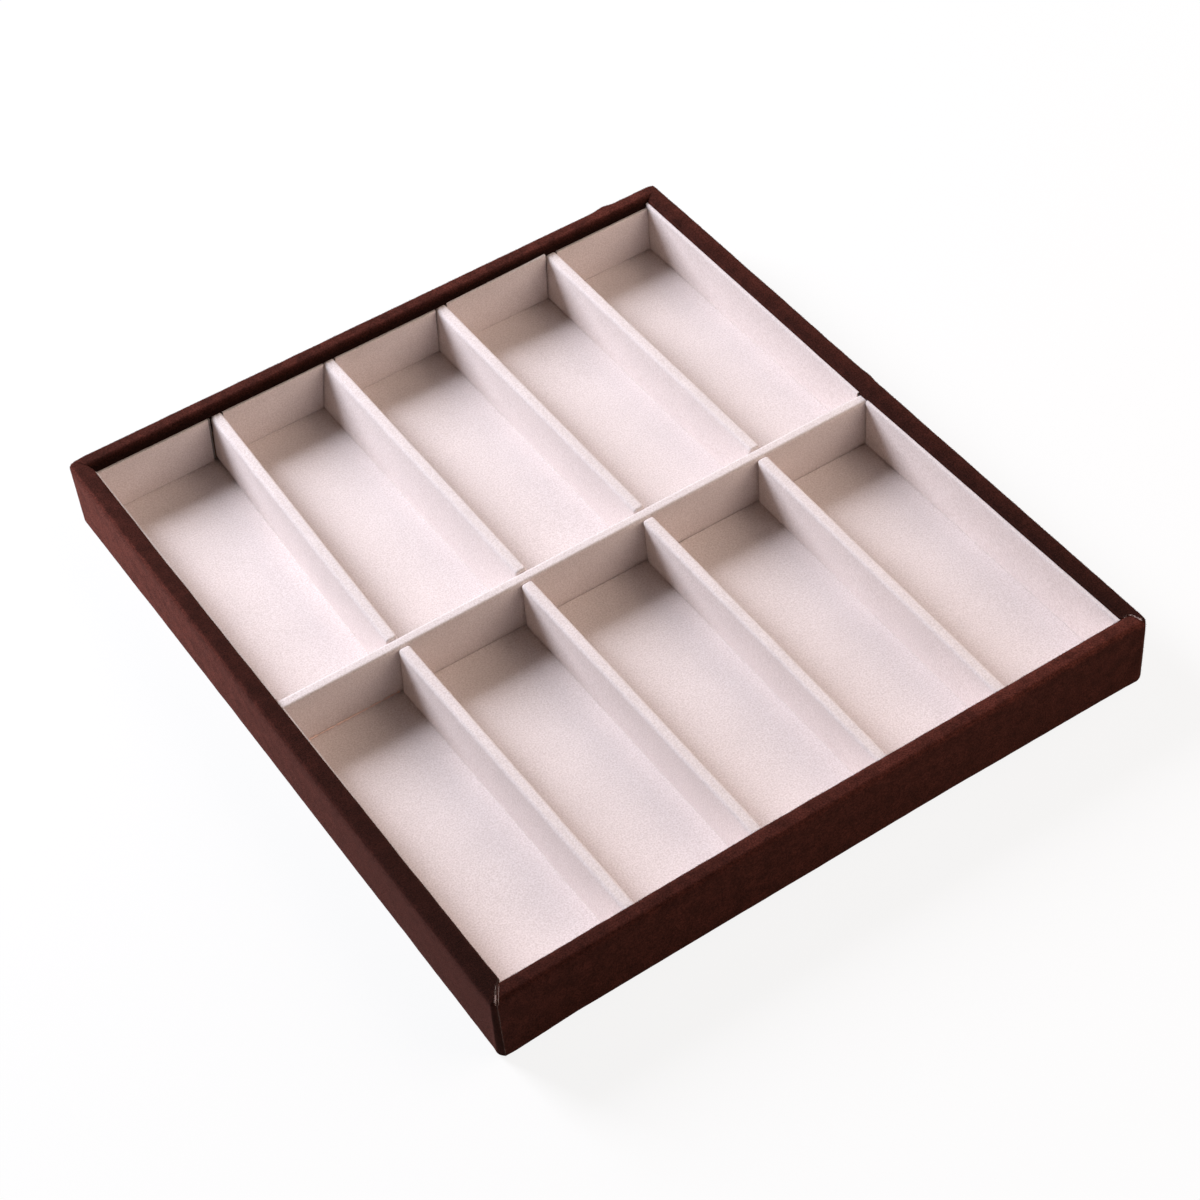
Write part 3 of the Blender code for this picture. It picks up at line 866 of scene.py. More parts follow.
    def add_liners(self) -> None:
        """Lines the walls between the ends of the dividers."""
        inner_edge = self.half_width - self.liner_face - self.corner_gap
        depth_share = (self.liner_face - self.liner_back) / self.row_length
        for row, offs in self.offs.items():
            starts, ends = [(-inner_edge, 0.0)], []
            for middle, (wall, centre, lean) in zip(self.middles(), offs):
                tops = [
                    middle + self.compartment * (wall + (centre - wall) * along)
                    for along in (0, depth_share)
                ]
                ends.append((min(tops) - self.half_seat, lean))
                starts.append((max(tops) + self.half_seat, lean))
            ends.append((inner_edge, 0.0))
            for i, (start, end, rises) in enumerate(zip(starts, ends, self.rises_mm[row]), 1):
                self.liner(f"{row.value}_liner_{i}", Wall(row.value), start, end, rises)
        spans = {Row.FRONT: (-self.row_far, -self.half_seat), Row.BACK: (self.half_seat, self.row_far)}
        for (wall, row), rises in self.side_rises_mm.items():
            start, end = spans[row]
            self.liner(f"{wall.value}_{row.value}_liner", wall, (start, 0.0), (end, 0.0), rises)

    def build(self) -> None:
        """Makes every cover."""
        self.add_floors()
        self.add_dividers()
        self.add_liners()


@dataclass(frozen=True)
class Corner:
    """One corner of the tray in plan: its rounding and the velvet's seam, measured in from the corner.

    Attributes:
        radius: The rounding at the rim.
        foot_radius: The rounding at the foot.
        seam: Places of the seam over the rim, in from the side wall and in from the long wall.
        slant: How much further from the side wall the seam ends at the foot than at the rim.
        fray: How far the cloth's pale backing shows along the seam, from 0 to 1.
        stand_mm: How far both strips stand off the drawing where they meet, at the rim and at the foot.
    """

    radius: float
    foot_radius: float
    seam: tuple[tuple[float, float], ...]
    slant: float = 0.0
    fray: float = 0.0
    stand_mm: tuple[float, float] = (0.5, 0.5)

    def seam_x(self, y: np.ndarray, low: float) -> np.ndarray:
        """Finds how far the seam lies from the side wall's outer face.

        Args:
            y: Places in from the long wall's outer face.
            low: How far down the outer face, from 0 at the rim to 1 at the foot.

        Returns:
            The seam's place for each of them.
        """
        xs, ys = zip(*self.seam)
        on_rim = np.where(y > ys[-1], xs[-1] + (y - ys[-1]), np.interp(y, ys, xs))
        return on_rim + self.slant * low


@dataclass(frozen=True)
class Lump:
    """A place where the velvet stands off the wall, rubbed up or bulky at a fold; below 0, pressed in."""

    place: tuple[float, float, float]
    reach: float
    height: float

    def rise(self, x: float, y: float, z: float) -> float:
        """How far the velvet stands off at a place."""
        away = sum((a - b) ** 2 for a, b in zip((x, y, z), self.place))
        return self.height * math.exp(-away / self.reach**2)


@dataclass(frozen=True)
class Waves:
    """How long the slow, quick and tuft-sized waves of hand-glued velvet are, and how high they stand."""

    slow_length: float = 22 * MM
    quick_length: float = 6 * MM
    tuft_length: float = 1.7 * MM
    outer_slow: float = 0.10 * MM
    outer_quick: float = 0.06 * MM
    outer_tuft: float = 0.04 * MM
    inner_quick: float = 0.10 * MM
    rim_quick: float = 0.08 * MM
    rim_tuft: float = 0.05 * MM

    def at(self, x: float, y: float, z: float) -> tuple[float, float, float]:
        """Finds the three waves at a place. The slow one is the same at every height.

        Args:
            x: The place along a row.
            y: The place from front to back.
            z: The height.

        Returns:
            Each wave's value there, between about -1 and 1.
        """
        place = Vector((x, y, z))
        return (
            noise.noise(Vector((x, y, 0.0)) / self.slow_length),
            noise.noise(place / self.quick_length),
            noise.noise(place / self.tuft_length),
        )


@dataclass(frozen=True)
class Drape:
    """How one wall's velvet lies. Each row of numbers runs evenly from the start of the wall to its end.

    Attributes:
        inside_mm: How far the rim's inner edge stands in from the drawing.
        rim_mm: How far the outer face stands off the drawing at the rim.
        foot_mm: The same at the foot.
        outer_lay_painted_light: How far the pile lies over on the outer face, 0 to 1, with painted light.
        rim_lay_painted_light: The same on the rim, also with painted light.
        inner_lay_painted_shade: The same on the inner face, with painted shade.
        wander: How much the rim's inner edge wanders.
        crown: How far the rim stands above the drawing.
        lip: How far the inner face rolls over the tops of the liners.
        lip_rise_mm: How much higher this roll ends, where the liners stand higher: a row, as the first ones.
        shade: Painted shade, as the share of the rim's lay lost towards its inner edge between two insets.
        shoulder: How much further up the outer edge the rim's own lay begins, which carries painted light
            higher.
        edge: A painted highlight: how much more the outer face's pile lies over just below the rim.
    """

    inside_mm: tuple[float, ...]
    rim_mm: tuple[float, ...]
    foot_mm: tuple[float, ...]
    outer_lay_painted_light: tuple[float, ...]
    rim_lay_painted_light: tuple[float, ...]
    inner_lay_painted_shade: tuple[float, ...]
    wander: float = 0.12 * MM
    crown: float = 0.05 * MM
    lip: float = 0.0
    lip_rise_mm: tuple[float, ...] = (0.0,)
    shade: tuple[float, float, float] = (0.0, 2.0 * MM, 5.0 * MM)
    shoulder: float = 0.0
    edge: float = 0.0

    def at(self, row: str, along: np.ndarray) -> np.ndarray:
        """One row's value at shares of the wall's length."""
        values = getattr(self, row)
        return np.interp(along, np.linspace(0, 1, len(values)), values)


@dataclass
class VelvetShell:
    """The four strips of velvet, each glued over the outside, the rim and the upper inside of one wall.

    A point of the section is given by its inset from the wall's outer face, u, and its height, z.
    """

    finishes: Finishes
    half_width: float = HALF_WIDTH
    half_depth: float = HALF_DEPTH
    height: float = HEIGHT
    thickness: float = 6.8 * MM
    cloth: float = 0.8 * MM
    outer_radius: float = 1.8 * MM
    inner_radius: float = 2.5 * MM
    flap_bottom: float = 0.9 * MM
    roll_bottom: float = 0.0
    roll_inset: float = 4.1 * MM
    bottom_radius: float = 1.8 * MM
    turn_under: float = 14.0 * MM
    flat_flap: float = 6.0 * MM
    strip: float = 14.0 * MM
    strip_margin: float = 1.0 * MM
    lip_bottom: float = 31.1 * MM
    lip_edge: float = 0.4 * MM
    lip_tuck: float = 0.1 * MM
    seam_gap: float = 0.05 * MM
    run_in: float = 16.0 * MM
    seam_reach: float = 6.0 * MM
    past_seam: float = 0.5 * MM
    least_leg: float = 0.1 * MM
    least_turn: float = 0.12 * MM
    fray_width: float = 0.5 * MM
    hidden_fray: float = 0.6
    sparse_pile: float = 0.12
    # Points crowd towards the seams: how strongly round a corner and along a long wall
    corner_crowding: float = 1.6
    long_crowding: float = 0.75
    # How quickly the strips settle beside a seam, and how much of a lump lifts the rim
    seam_settling: float = 1.5
    lump_lift: float = 0.6
    # A rim's lay that begins further up also grows faster, by this share of the way up
    shoulder_gain: float = 0.45
    # A short step inwards that tells which way the section faces
    probe: float = 0.2 * MM
    # Loose pile stands above the foot, and past this inset only on the rim
    pile_foot: float = 3.0 * MM
    pile_inset: float = 5.8 * MM
    pile_rim: float = HEIGHT - 3.0 * MM
    # Where along the section a change begins, and the run over which it grows to its full share
    rim_rise: tuple[float, float] = (HEIGHT - 4.0 * MM, 1.6 * MM)
    inner_inset: tuple[float, float] = (3.2 * MM, 2.2 * MM)
    outer_inset: tuple[float, float] = (3.0 * MM, -2.0 * MM)
    pile_rise: tuple[float, float] = (HEIGHT - 6.0 * MM, 5.0 * MM)
    inner_lay_inset: tuple[float, float] = (3.4 * MM, 1.5 * MM)
    painted_highlight_rise: tuple[float, float] = (HEIGHT - 3.5 * MM, 2.5 * MM)
    rim_lay_rise: tuple[float, float] = (HEIGHT - 3.0 * MM, 1.6 * MM)
    roll_drop: float = 3.5 * MM
    # How many points the path round a corner is drawn with, up to, round and past its arc, and how many
    # lines of points a strip then has: round a corner, along a side wall and along a long wall
    head_lines: int = 61
    arc_lines: int = 25
    leg_lines: int = 30
    corner_lines: int = 34
    side_lines: int = 190
    long_lines: int = 215
    left_front: Corner = Corner(
        0.9 * MM, 2.6 * MM, ((2.1 * MM, 0.0), (6.8 * MM, 6.8 * MM)),
        slant=0.4 * MM, fray=0.3, stand_mm=(0.34, 1.3),
    )
    left_back: Corner = Corner(
        2.4 * MM, 2.4 * MM, ((2.5 * MM, 0.0), (6.8 * MM, 6.8 * MM)), stand_mm=(0.4, 0.35)
    )
    right_front: Corner = Corner(
        2.4 * MM, 3.2 * MM,
        ((1.5 * MM, 0.0), (2.9 * MM, 4.4 * MM), (4.0 * MM, 6.2 * MM), (6.8 * MM, 6.8 * MM)),
        slant=1.9 * MM, stand_mm=(1.0, 1.7),
    )
    right_back: Corner = Corner(
        2.0 * MM, 2.0 * MM, ((2.1 * MM, 0.0), (4.2 * MM, 5.6 * MM), (6.8 * MM, 6.8 * MM)),
        stand_mm=(0.95, 0.5),
    )
    lumps: tuple[Lump, ...] = (
        Lump((126.5 * MM, HALF_DEPTH, HEIGHT), 3.6 * MM, 0.65 * MM),
        Lump((HALF_WIDTH, 7.0 * MM, HEIGHT), 3.0 * MM, 0.40 * MM),
        Lump((HALF_WIDTH + 0.5 * MM, -HALF_DEPTH - 0.5 * MM, HEIGHT), 3.2 * MM, -0.5 * MM),
    )
    waves: Waves = Waves()
    # The lays hold painted light and shade as well as the pile's lay: graded along each wall as light and
    # sheen fall on it, lowest on the back wall's inner face where shade falls, and darker towards the rims'
    # inner edges
    drapes: dict[Wall, Drape] = field(
        default_factory=lambda: {
            Wall.FRONT: Drape(
                inside_mm=(0.4, 0.55, 0.75, 0.9, 1.0, 0.95, 0.85, 0.75, 0.6, 0.5, 0.4),
                rim_mm=(0.34,),
                foot_mm=(1.75, 0.55, 0.45, 0.36, 0.34, 0.36, 0.25, 0.3, 0.75, 1.05, 1.5),
                outer_lay_painted_light=(0.30, 0.37, 0.40, 0.37, 0.32), rim_lay_painted_light=(0.34, 0.92), inner_lay_painted_shade=(0.2,),
                shoulder=0.6 * MM,
            ),
            Wall.BACK: Drape(
                inside_mm=(0.0,), rim_mm=(0.95,), foot_mm=(0.5,),
                outer_lay_painted_light=(0.3, 0.4), rim_lay_painted_light=(0.47, 0.80), inner_lay_painted_shade=(0.0,), crown=0.25 * MM, lip=1.4 * MM,
                lip_rise_mm=(0, 0, 0, 0, 0, 0, 0, 0, 0, 0, 0, 0, 0.5, 0.75, 1.0, 1.2, 0.2, 0, 0, 0, 0),
                shade=(0.8, 4.7 * MM, 6.8 * MM),
            ),
            Wall.LEFT: Drape(
                inside_mm=(1.75, 1.5, 1.4, 1.4, 1.15, 1.1, 1.05, 1.0, 0.95, 1.2, 1.2),
                rim_mm=(0.34,),
                foot_mm=(0.1, 0.2, 0.1, 0.2, 0.2, 0.15, 0.18, 0.2, 0.25, 0.45, 0.5),
                outer_lay_painted_light=(0.11, 0.23, 0.46, 0.78, 0.96), rim_lay_painted_light=(0.06, 0.42), inner_lay_painted_shade=(0.1,),
                shade=(0.12, 2.0 * MM, 5.0 * MM), shoulder=2.45 * MM, edge=0.28,
            ),
            Wall.RIGHT: Drape(
                inside_mm=(-0.45,), rim_mm=(0.9, 0.85, 0.85, 0.85, 0.9, 1.05, 0.95),
                foot_mm=(1.5, 0.7, 0.6, 0.5),
                outer_lay_painted_light=(0.2, 0.3), rim_lay_painted_light=(0.16, 0.62), inner_lay_painted_shade=(0.12, 0.40), crown=0.15 * MM,
                lip=1.2 * MM, lip_rise_mm=(2.7, 0.85, 1.6), shade=(0.42, 1.5 * MM, 5.5 * MM),
            ),
        }
    )

    def __post_init__(self) -> None:
        """Prepares the store for the lines of the seams at the start and at the end of each wall."""
        self.seams: dict[Wall, tuple[np.ndarray, np.ndarray]] = {}

    def rails(self, lip: float) -> tuple[np.ndarray, np.ndarray]:
        """Draws the section as two rows of matching points, the pile side and the glue side.

        Args:
            lip: How far the inner face rolls over the liners' tops.

        Returns:
            Two arrays of (u, z) points, from the end of the flap under the base, round the outer face and
            the rim, to the lower edge inside.
        """
        top, wall, cloth = self.height, self.thickness, self.cloth
        flap, roll, foot = self.flap_bottom, self.roll_bottom, self.bottom_radius
        ro, ri = self.outer_radius, self.inner_radius
        lip_top, lip_end = self.lip_bottom + self.lip_edge, self.lip_bottom - self.lip_tuck
        outer: list[tuple[float, float]] = []
        inner: list[tuple[float, float]] = []

        def straight(start: tuple, end: tuple, shift: tuple, steps: int) -> None:
            """Adds points of a straight part, and the same points on the glue side.

            Args:
                start: Where it starts.
                end: Where it ends; this point is left to the next part.
                shift: The way from the pile side to the glue side.
                steps: How many points it gets.
            """
            for i in range(steps):
                spot = [a + (b - a) * i / steps for a, b in zip(start, end)]
                outer.append((spot[0], spot[1]))
                inner.append((spot[0] + shift[0], spot[1] + shift[1]))

        def turn(centre: tuple, radius: float, start: float, steps: int) -> None:
            """Adds points of a quarter turn on both sides.

            Args:
                centre: Its centre.
                radius: The pile side's radius.
                start: Where it starts, in degrees, from which it runs clockwise.
                steps: How many points it gets.
            """
            for i in range(steps):
                angle = math.radians(start - 90 * i / steps)
                for side, reach in ((outer, radius), (inner, radius - cloth)):
                    side.append((centre[0] + reach * math.cos(angle), centre[1] + reach * math.sin(angle)))

        straight((self.turn_under, flap), (self.roll_inset, flap), (0, cloth), steps=4)
        straight((self.roll_inset, flap), (foot, roll), (0, cloth), steps=3)
        turn((foot, roll + foot), foot, start=270, steps=6)
        straight((0, roll + foot), (0, top - ro), (cloth, 0), steps=18)
        turn((ro, top - ro), ro, start=180, steps=6)
        straight((ro, top), (wall - ri, top), (0, -cloth), steps=4)
        turn((wall - ri, top - ri), ri, start=90, steps=7)
        straight((wall, top - ri), (wall + lip, lip_top), (-cloth, 0), steps=3)
        straight((wall + lip, lip_top), (wall + lip, self.lip_bottom), (-cloth, 0), steps=1)
        straight((wall + lip, self.lip_bottom), (wall, lip_end), (-cloth, 0), steps=1)
        straight((wall, lip_end), (wall, top - self.strip), (-cloth, 0), steps=5)
        outer.append((wall, top - self.strip))
        inner.append((wall - cloth, top - self.strip))
        return np.array(outer), np.array(inner)

    def end_run(self, corner: Corner, u: float, low: float) -> np.ndarray:
        """Follows a side wall at one inset, from the run-in round the corner to the seam.

        Args:
            corner: The corner.
            u: The inset from the wall's outer face.
            low: How far down the outer face, from 0 at the rim to 1 at the foot.

        Returns:
            Points (x, y) from the corner, with x in from the side wall's outer face.
        """
        rounding = corner.radius + (corner.foot_radius - corner.radius) * low
        centre = max(rounding, u + self.least_turn)
        radius = centre - u
        angles = np.radians(np.linspace(180, 270, self.arc_lines))
        arc = np.stack([centre + radius * np.cos(angles), centre + radius * np.sin(angles)], 1)
        leg_end = max(float(corner.seam_x(np.array(u), low)) + self.past_seam, centre + self.least_leg)
        leg_x = np.linspace(centre, leg_end, self.leg_lines)[1:]
        head_y = np.linspace(self.run_in + u, centre, self.head_lines)[:-1]
        head = np.stack([np.full(len(head_y), u), head_y], 1)
        path = np.concatenate([head, arc, np.stack([leg_x, np.full(len(leg_x), u)], 1)])
        beyond = path[:, 0] - corner.seam_x(path[:, 1], low)
        last = int(np.argmax(beyond >= 0))
        before, after = beyond[last - 1], beyond[last]
        meet = path[last - 1] + (path[last] - path[last - 1]) * (before / (before - after))
        path = np.concatenate([path[:last], meet[None]])
        walked = lengths_along(path)
        even = np.linspace(0, 1, self.corner_lines + 1)
        goal = walked[-1] * (1 - (1 - even) ** self.corner_crowding)
        return np.stack([np.interp(goal, walked, path[:, k]) for k in (0, 1)], 1)

    def side_path(self, u: float, low: float, front: Corner, back: Corner) -> np.ndarray:
        """Follows a whole side wall at one inset.

        Args:
            u: The inset from the wall's outer face.
            low: How far down the outer face, from 0 at the rim to 1 at the foot.
            front: The corner where the path starts.
            back: The corner where it ends.

        Returns:
            Points (x, y), with x in from the wall's outer face and y from the front face.
        """
        near, far = self.end_run(front, u, low)[::-1], self.end_run(back, u, low)
        far = np.stack([far[:, 0], self.half_depth * 2 - far[:, 1]], 1)
        middle = np.linspace(near[-1, 1], far[0, 1], self.side_lines)[1:-1]
        return np.concatenate([near, np.stack([np.full(len(middle), u), middle], 1), far])

    def long_path(self, u: float, low: float, left: Corner, right: Corner) -> np.ndarray:
        """Follows a whole long wall at one inset.

        Args:
            u: The inset from the wall's outer face.
            low: How far down the outer face, from 0 at the rim to 1 at the foot.
            left: The corner where the path starts.
            right: The corner where it ends.

        Returns:
            Points (x, y), with x from the left face and y in from the wall's outer face.
        """
        start = float(left.seam_x(np.array(u), low)) + self.seam_gap
        end = self.half_width * 2 - float(right.seam_x(np.array(u), low)) - self.seam_gap
        even = np.linspace(0, 1, self.long_lines)
        crowd = even - self.long_crowding * np.sin(math.tau * even) / math.tau
        x = start + (end - start) * crowd
        return np.stack([x, np.full(len(x), u)], 1)

    def corners(self, wall: Wall) -> tuple[Corner, Corner]:
        """Names a wall's two corners.

        Args:
            wall: The wall.

        Returns:
            The corner at the start of its path and the one at the end.
        """
        return {
            Wall.FRONT: (self.left_front, self.right_front), Wall.BACK: (self.left_back, self.right_back),
            Wall.LEFT: (self.left_front, self.left_back), Wall.RIGHT: (self.right_front, self.right_back),
        }[wall]

    def path(self, wall: Wall, u: float, z: float) -> np.ndarray:
        """Follows a wall in the tray's plan.

        Args:
            wall: The wall.
            u: The section point's inset.
            z: The section point's height.

        Returns:
            Points (x, y) from the start of the wall to its end.
        """
        inside = u > self.thickness / 2 and z > self.height - self.strip - self.strip_margin
        low = 0.0 if inside else 1 - z / self.height
        if wall in (Wall.LEFT, Wall.RIGHT):
            points = self.side_path(u, low, *self.corners(wall))
            sign = 1 if wall is Wall.LEFT else -1
            return np.stack([sign * (points[:, 0] - self.half_width), points[:, 1] - self.half_depth], 1)
        points = self.long_path(u, low, *self.corners(wall))
        sign = 1 if wall is Wall.FRONT else -1
        return np.stack([points[:, 0] - self.half_width, sign * (points[:, 1] - self.half_depth)], 1)

    def uneven(self, wall: Wall, u: float, z: float, path: np.ndarray) -> tuple[np.ndarray, np.ndarray]:
        """Finds how far the pile side stands off the drawing at each place of a path.

        Args:
            wall: The wall.
            u: The section point's inset.
            z: The section point's height.
            path: The places along the wall in plan.

        Returns:
            The change of the inset and of the height at each place.
        """
        drape, waves = self.drapes[wall], self.waves
        walked = lengths_along(path)
        along, low = walked / walked[-1], 1 - z / self.height
        inward = drape.at("inside_mm", along) * MM
        stand = (drape.at("foot_mm", along) * low + drape.at("rim_mm", along) * (1 - low)) * MM
        for corner, away in zip(self.corners(wall), (walked, walked[-1] - walked)):
            met = (corner.stand_mm[1] * low + corner.stand_mm[0] * (1 - low)) * MM
            share = np.clip(1 - away / self.seam_reach, 0, 1) ** self.seam_settling
            stand = stand + (met - stand) * share
        rim, outer_share = ramp(z, *self.rim_rise), ramp(u, *self.outer_inset)
        inner_share = rim * ramp(u, *self.inner_inset)
        over_liners = u > self.thickness / 2 and z > self.lip_bottom - 2 * self.lip_tuck
        rolled = ramp(z, self.height, -self.roll_drop) if over_liners else 0.0
        inset, lift = np.zeros(len(path)), drape.at("lip_rise_mm", along) * MM * rolled
        for i, (x, y) in enumerate(path):
            slow, quick, tuft = waves.at(x, y, z)
            lump = sum(one.rise(x, y, z) for one in self.lumps)
            inset[i] = inner_share * (inward[i] + drape.wander * slow + waves.inner_quick * quick)
            rough = waves.outer_slow * slow + waves.outer_quick * quick + waves.outer_tuft * tuft
            inset[i] -= outer_share * (stand[i] + rough + lump)
            rim_rough = waves.rim_quick * quick + waves.rim_tuft * tuft
            lift[i] += rim * (rim_rough + drape.crown + lump * self.lump_lift)
        return inset, lift

    def laid(self, wall: Wall, u: float, z: float, base: np.ndarray) -> np.ndarray:
        """Moves the places of a path on the pile side off the drawing, as the velvet lies.

        Args:
            wall: The wall.
            u: The section point's inset.
            z: The section point's height.
            base: The drawn places in plan.

        Returns:
            The moved places, with their heights.
        """
        inset, rise = self.uneven(wall, u, z, base)
        inward = (self.path(wall, u + self.probe, z) - base) / self.probe
        return np.column_stack([base + inward * inset[:, None], z + rise])

    def lay_and_painted_light_along(self, wall: Wall, u: float, z: float, along: np.ndarray) -> np.ndarray:
        """Finds how far the pile lies over at places along a wall, with painted light and shade in it.

        Args:
            wall: The wall.
            u: The section point's inset.
            z: The section point's height.
            along: The places, as shares of the wall's length.

        Returns:
            The lay, with its painted light and shade, at each of them, from 0 to 1.
        """
        drape = self.drapes[wall]
        outside, rim, inside = (drape.at(row, along) for row in ("outer_lay_painted_light", "rim_lay_painted_light", "inner_lay_painted_shade"))
        on_outside = u < self.thickness / 2
        inner = 0.0 if z <= self.height / 2 else ramp(u, *self.inner_lay_inset)
        # Painted highlight: the outer face's lay is raised just below the rim
        painted_highlight_share = ramp(z, *self.painted_highlight_rise) if on_outside else 0.0
        face = (outside + (inside - outside) * inner) * (1 + drape.edge * painted_highlight_share)
        shoulder = drape.shoulder if on_outside else 0.0
        rim_start, rim_run = self.rim_lay_rise
        on_rim = ramp(z, rim_start + shoulder, rim_run - self.shoulder_gain * shoulder)
        # Painted shade: the rim's lay is lowered towards its inner edge
        lost, shade_start, shade_end = drape.shade
        kept = 1 - lost * ramp(u, shade_start, shade_end - shade_start)
        return face + (rim * kept - face) * on_rim

    def pile_at(self, u: float, z: float) -> float:
        """How thick the loose pile stands at a point of the section: sparse below, full along the rim."""
        shown = z > self.pile_foot and (u < self.pile_inset or z > self.pile_rim)
        return self.sparse_pile + (1 - self.sparse_pile) * ramp(z, *self.pile_rise) if shown else 0.0

    def fray_along(self, wall: Wall, walked: np.ndarray) -> np.ndarray:
        """Finds how much of the pale backing shows at places along a strip.

        Args:
            wall: The wall.
            walked: How far each place lies from the start of the strip.

        Returns:
            The share that shows at each of them, from 0 to 1.
        """
        start, end = (
            corner.fray * np.clip(1 - away / self.fray_width, 0, 1)
            for corner, away in zip(self.corners(wall), (walked, walked[-1] - walked))
        )
        return np.maximum(start, end)

    def strip_mesh(self, wall: Wall) -> bpy.types.Mesh:
        """Makes one wall's strip.

        Args:
            wall: The wall.

        Returns:
            A closed mesh, with its raw edges, its loose pile and its lay with painted light and shade as
            attributes.
        """
        outer, inner = self.rails(self.drapes[wall].lip)
        loop = [(u, z, True) for u, z in outer] + [(u, z, False) for u, z in inner[::-1]]
        columns, raw, pile, lay = [], [], [], []
        for u, z, pile_side in loop:
            base = self.path(wall, u, z)
            walked = lengths_along(base)
            moved = pile_side and u < self.turn_under - self.flat_flap
            flat = np.column_stack([base, np.full(len(base), z)])
            columns.append(self.laid(wall, u, z, base) if moved else flat)
            in_sight = pile_side and z > self.height - self.strip
            raw.append(self.fray_along(wall, walked) * (1.0 if in_sight else self.hidden_fray))
            pile.append(np.full(len(base), self.pile_at(u, z) if pile_side else 0.0))
            lay.append(self.lay_and_painted_light_along(wall, u, z, walked / walked[-1]))
        points = np.stack(columns, 1)
        rails = len(outer)
        self.seams[wall] = (points[0, :rails], points[-1, :rails])
        mesh = bpy.data.meshes.new(f"{wall.value}_velvet")
        mesh.from_pydata(points.reshape(-1, 3).tolist(), [], self.strip_faces(*points.shape[:2]))
        for label, values in (("raw_edge", raw), ("pile_density", pile), ("nap_lay", lay)):
            layer = mesh.attributes.new(label, "FLOAT", "POINT")
            layer.data.foreach_set("value", np.stack(values, 1).astype(np.float32).ravel())
        shape = bmesh.new()
        shape.from_mesh(mesh)
        bmesh.ops.recalc_face_normals(shape, faces=shape.faces)
        shape.to_mesh(mesh)
        shape.free()
        mesh.shade_smooth()
        mesh.materials.append(self.finishes.velvet)
        return mesh

    @staticmethod
    def strip_faces(stations: int, around: int) -> list[list[int]]:
        """Closes a strip: its skin between the stations, and the cut edge at both ends.

        Args:
            stations: How many places it has along the wall.
            around: How many points each of them has, out along the pile side and back along the glue side.

        Returns:
            The faces, as lists of point numbers.
        """
        index = np.arange(stations * around).reshape(stations, around)
        across = np.roll(index, -1, axis=1)
        faces = np.stack([index[:-1], across[:-1], across[1:], index[1:]], -1).reshape(-1, 4).tolist()
        for station in (0, stations - 1):
            for j in range(around // 2 - 1):
                mate = around - 1 - j
                faces.append([int(index[station, k]) for k in (j, j + 1, mate - 1, mate)])
        return faces

    def build(self) -> dict[Wall, bpy.types.Object]:
        """Makes the four strips and ties them to the tray.

        Returns:
            Each wall's strip.
        """
        strips = {}
        for wall in Wall:
            piece = put(f"{wall.value}_velvet", self.strip_mesh(wall))
            replaced = (f"{wall.value}_velvet_wrap",)
            strips[wall] = dress(piece, replaced, sharp_degrees=62.0)
        return strips


class FibreTree(ShapeTree):
    """A rule that plants fine fibres, each of its own length."""

    def plant(
        self, points: bpy.types.NodeSocket, turns: bpy.types.NodeSocket, shortest: float, longest: float
    ) -> bpy.types.NodeSocket:
        """Plants a tapered, three-sided fibre at each point.

        Args:
            points: The places.
            turns: Which way each fibre points.
            shortest: The shortest fibre's share of the usual length.
            longest: The longest one's.

        Returns:
            The fibres, as instances.
        """
        given = self.given
        half_width = self.chain("ShaderNodeMath", given["Fibre Width"], ("MULTIPLY", {1: 0.5}))
        fibre = self.add(
            "GeometryNodeMeshCone",
            {"Vertices": 3, "Radius Top": 0.0, "Radius Bottom": half_width, "Depth": given["Fibre Length"]},
        )["Mesh"]
        tall = self.add(
            "FunctionNodeRandomValue",
            {0: (1.0, 1.0, shortest), 1: (1.0, 1.0, longest), "Seed": given["Seed"]},
            data_type="FLOAT_VECTOR",
        )[0]
        return self.add(
            "GeometryNodeInstanceOnPoints",
            {"Points": points, "Instance": fibre, "Rotation": turns, "Scale": tall},
        )[0]


class PileTree(FibreTree):
    """Loose tips of the pile that stand up from the velvet, thicker along the rim."""

    def __init__(self) -> None:
        """Builds the tree."""
        super().__init__(
            "loose_pile",
            {
                "Float": ("Density", "Fibre Length", "Fibre Width", "Spread"), "Int": ("Seed",),
                "Material": ("Material",),
            },
        )
        given = self.given
        mask = self.add(
            "GeometryNodeInputNamedAttribute", {"Name": "pile_density"}, data_type="FLOAT"
        )["Attribute"]
        density = self.chain("ShaderNodeMath", mask, ("MULTIPLY", {1: given["Density"]}))
        points = self.add(
            "GeometryNodeDistributePointsOnFaces",
            {"Mesh": given["Base"], "Density": density, "Seed": given["Seed"]},
        )
        wide = self.add(
            "FunctionNodeRandomValue",
            {0: (-1.0, -1.0, -3.14), 1: (1.0, 1.0, 3.14), "Seed": given["Seed"]}, data_type="FLOAT_VECTOR",
        )[0]
        spread = self.add("ShaderNodeCombineXYZ", {"X": given["Spread"], "Y": given["Spread"], "Z": 1.0})[0]
        turn = self.chain("ShaderNodeVectorMath", wide, ("MULTIPLY", {1: spread}))
        loose = self.add(
            "FunctionNodeRotateRotation", {"Rotation": points["Rotation"], "Rotate By": turn},
            rotation_space="LOCAL",
        )[0]
        planted = self.plant(points["Points"], loose, 0.4, 1.25)
        shade = self.add(
            "FunctionNodeRandomValue", {2: 0.0, 3: 1.0, "Seed": given["Seed"]}, data_type="FLOAT"
        )[1]
        shaded = self.add(
            "GeometryNodeStoreNamedAttribute", {"Geometry": planted, "Name": "fibre_shade", "Value": shade},
            data_type="FLOAT", domain="INSTANCE",
        )[0]
        self.close(shaded)


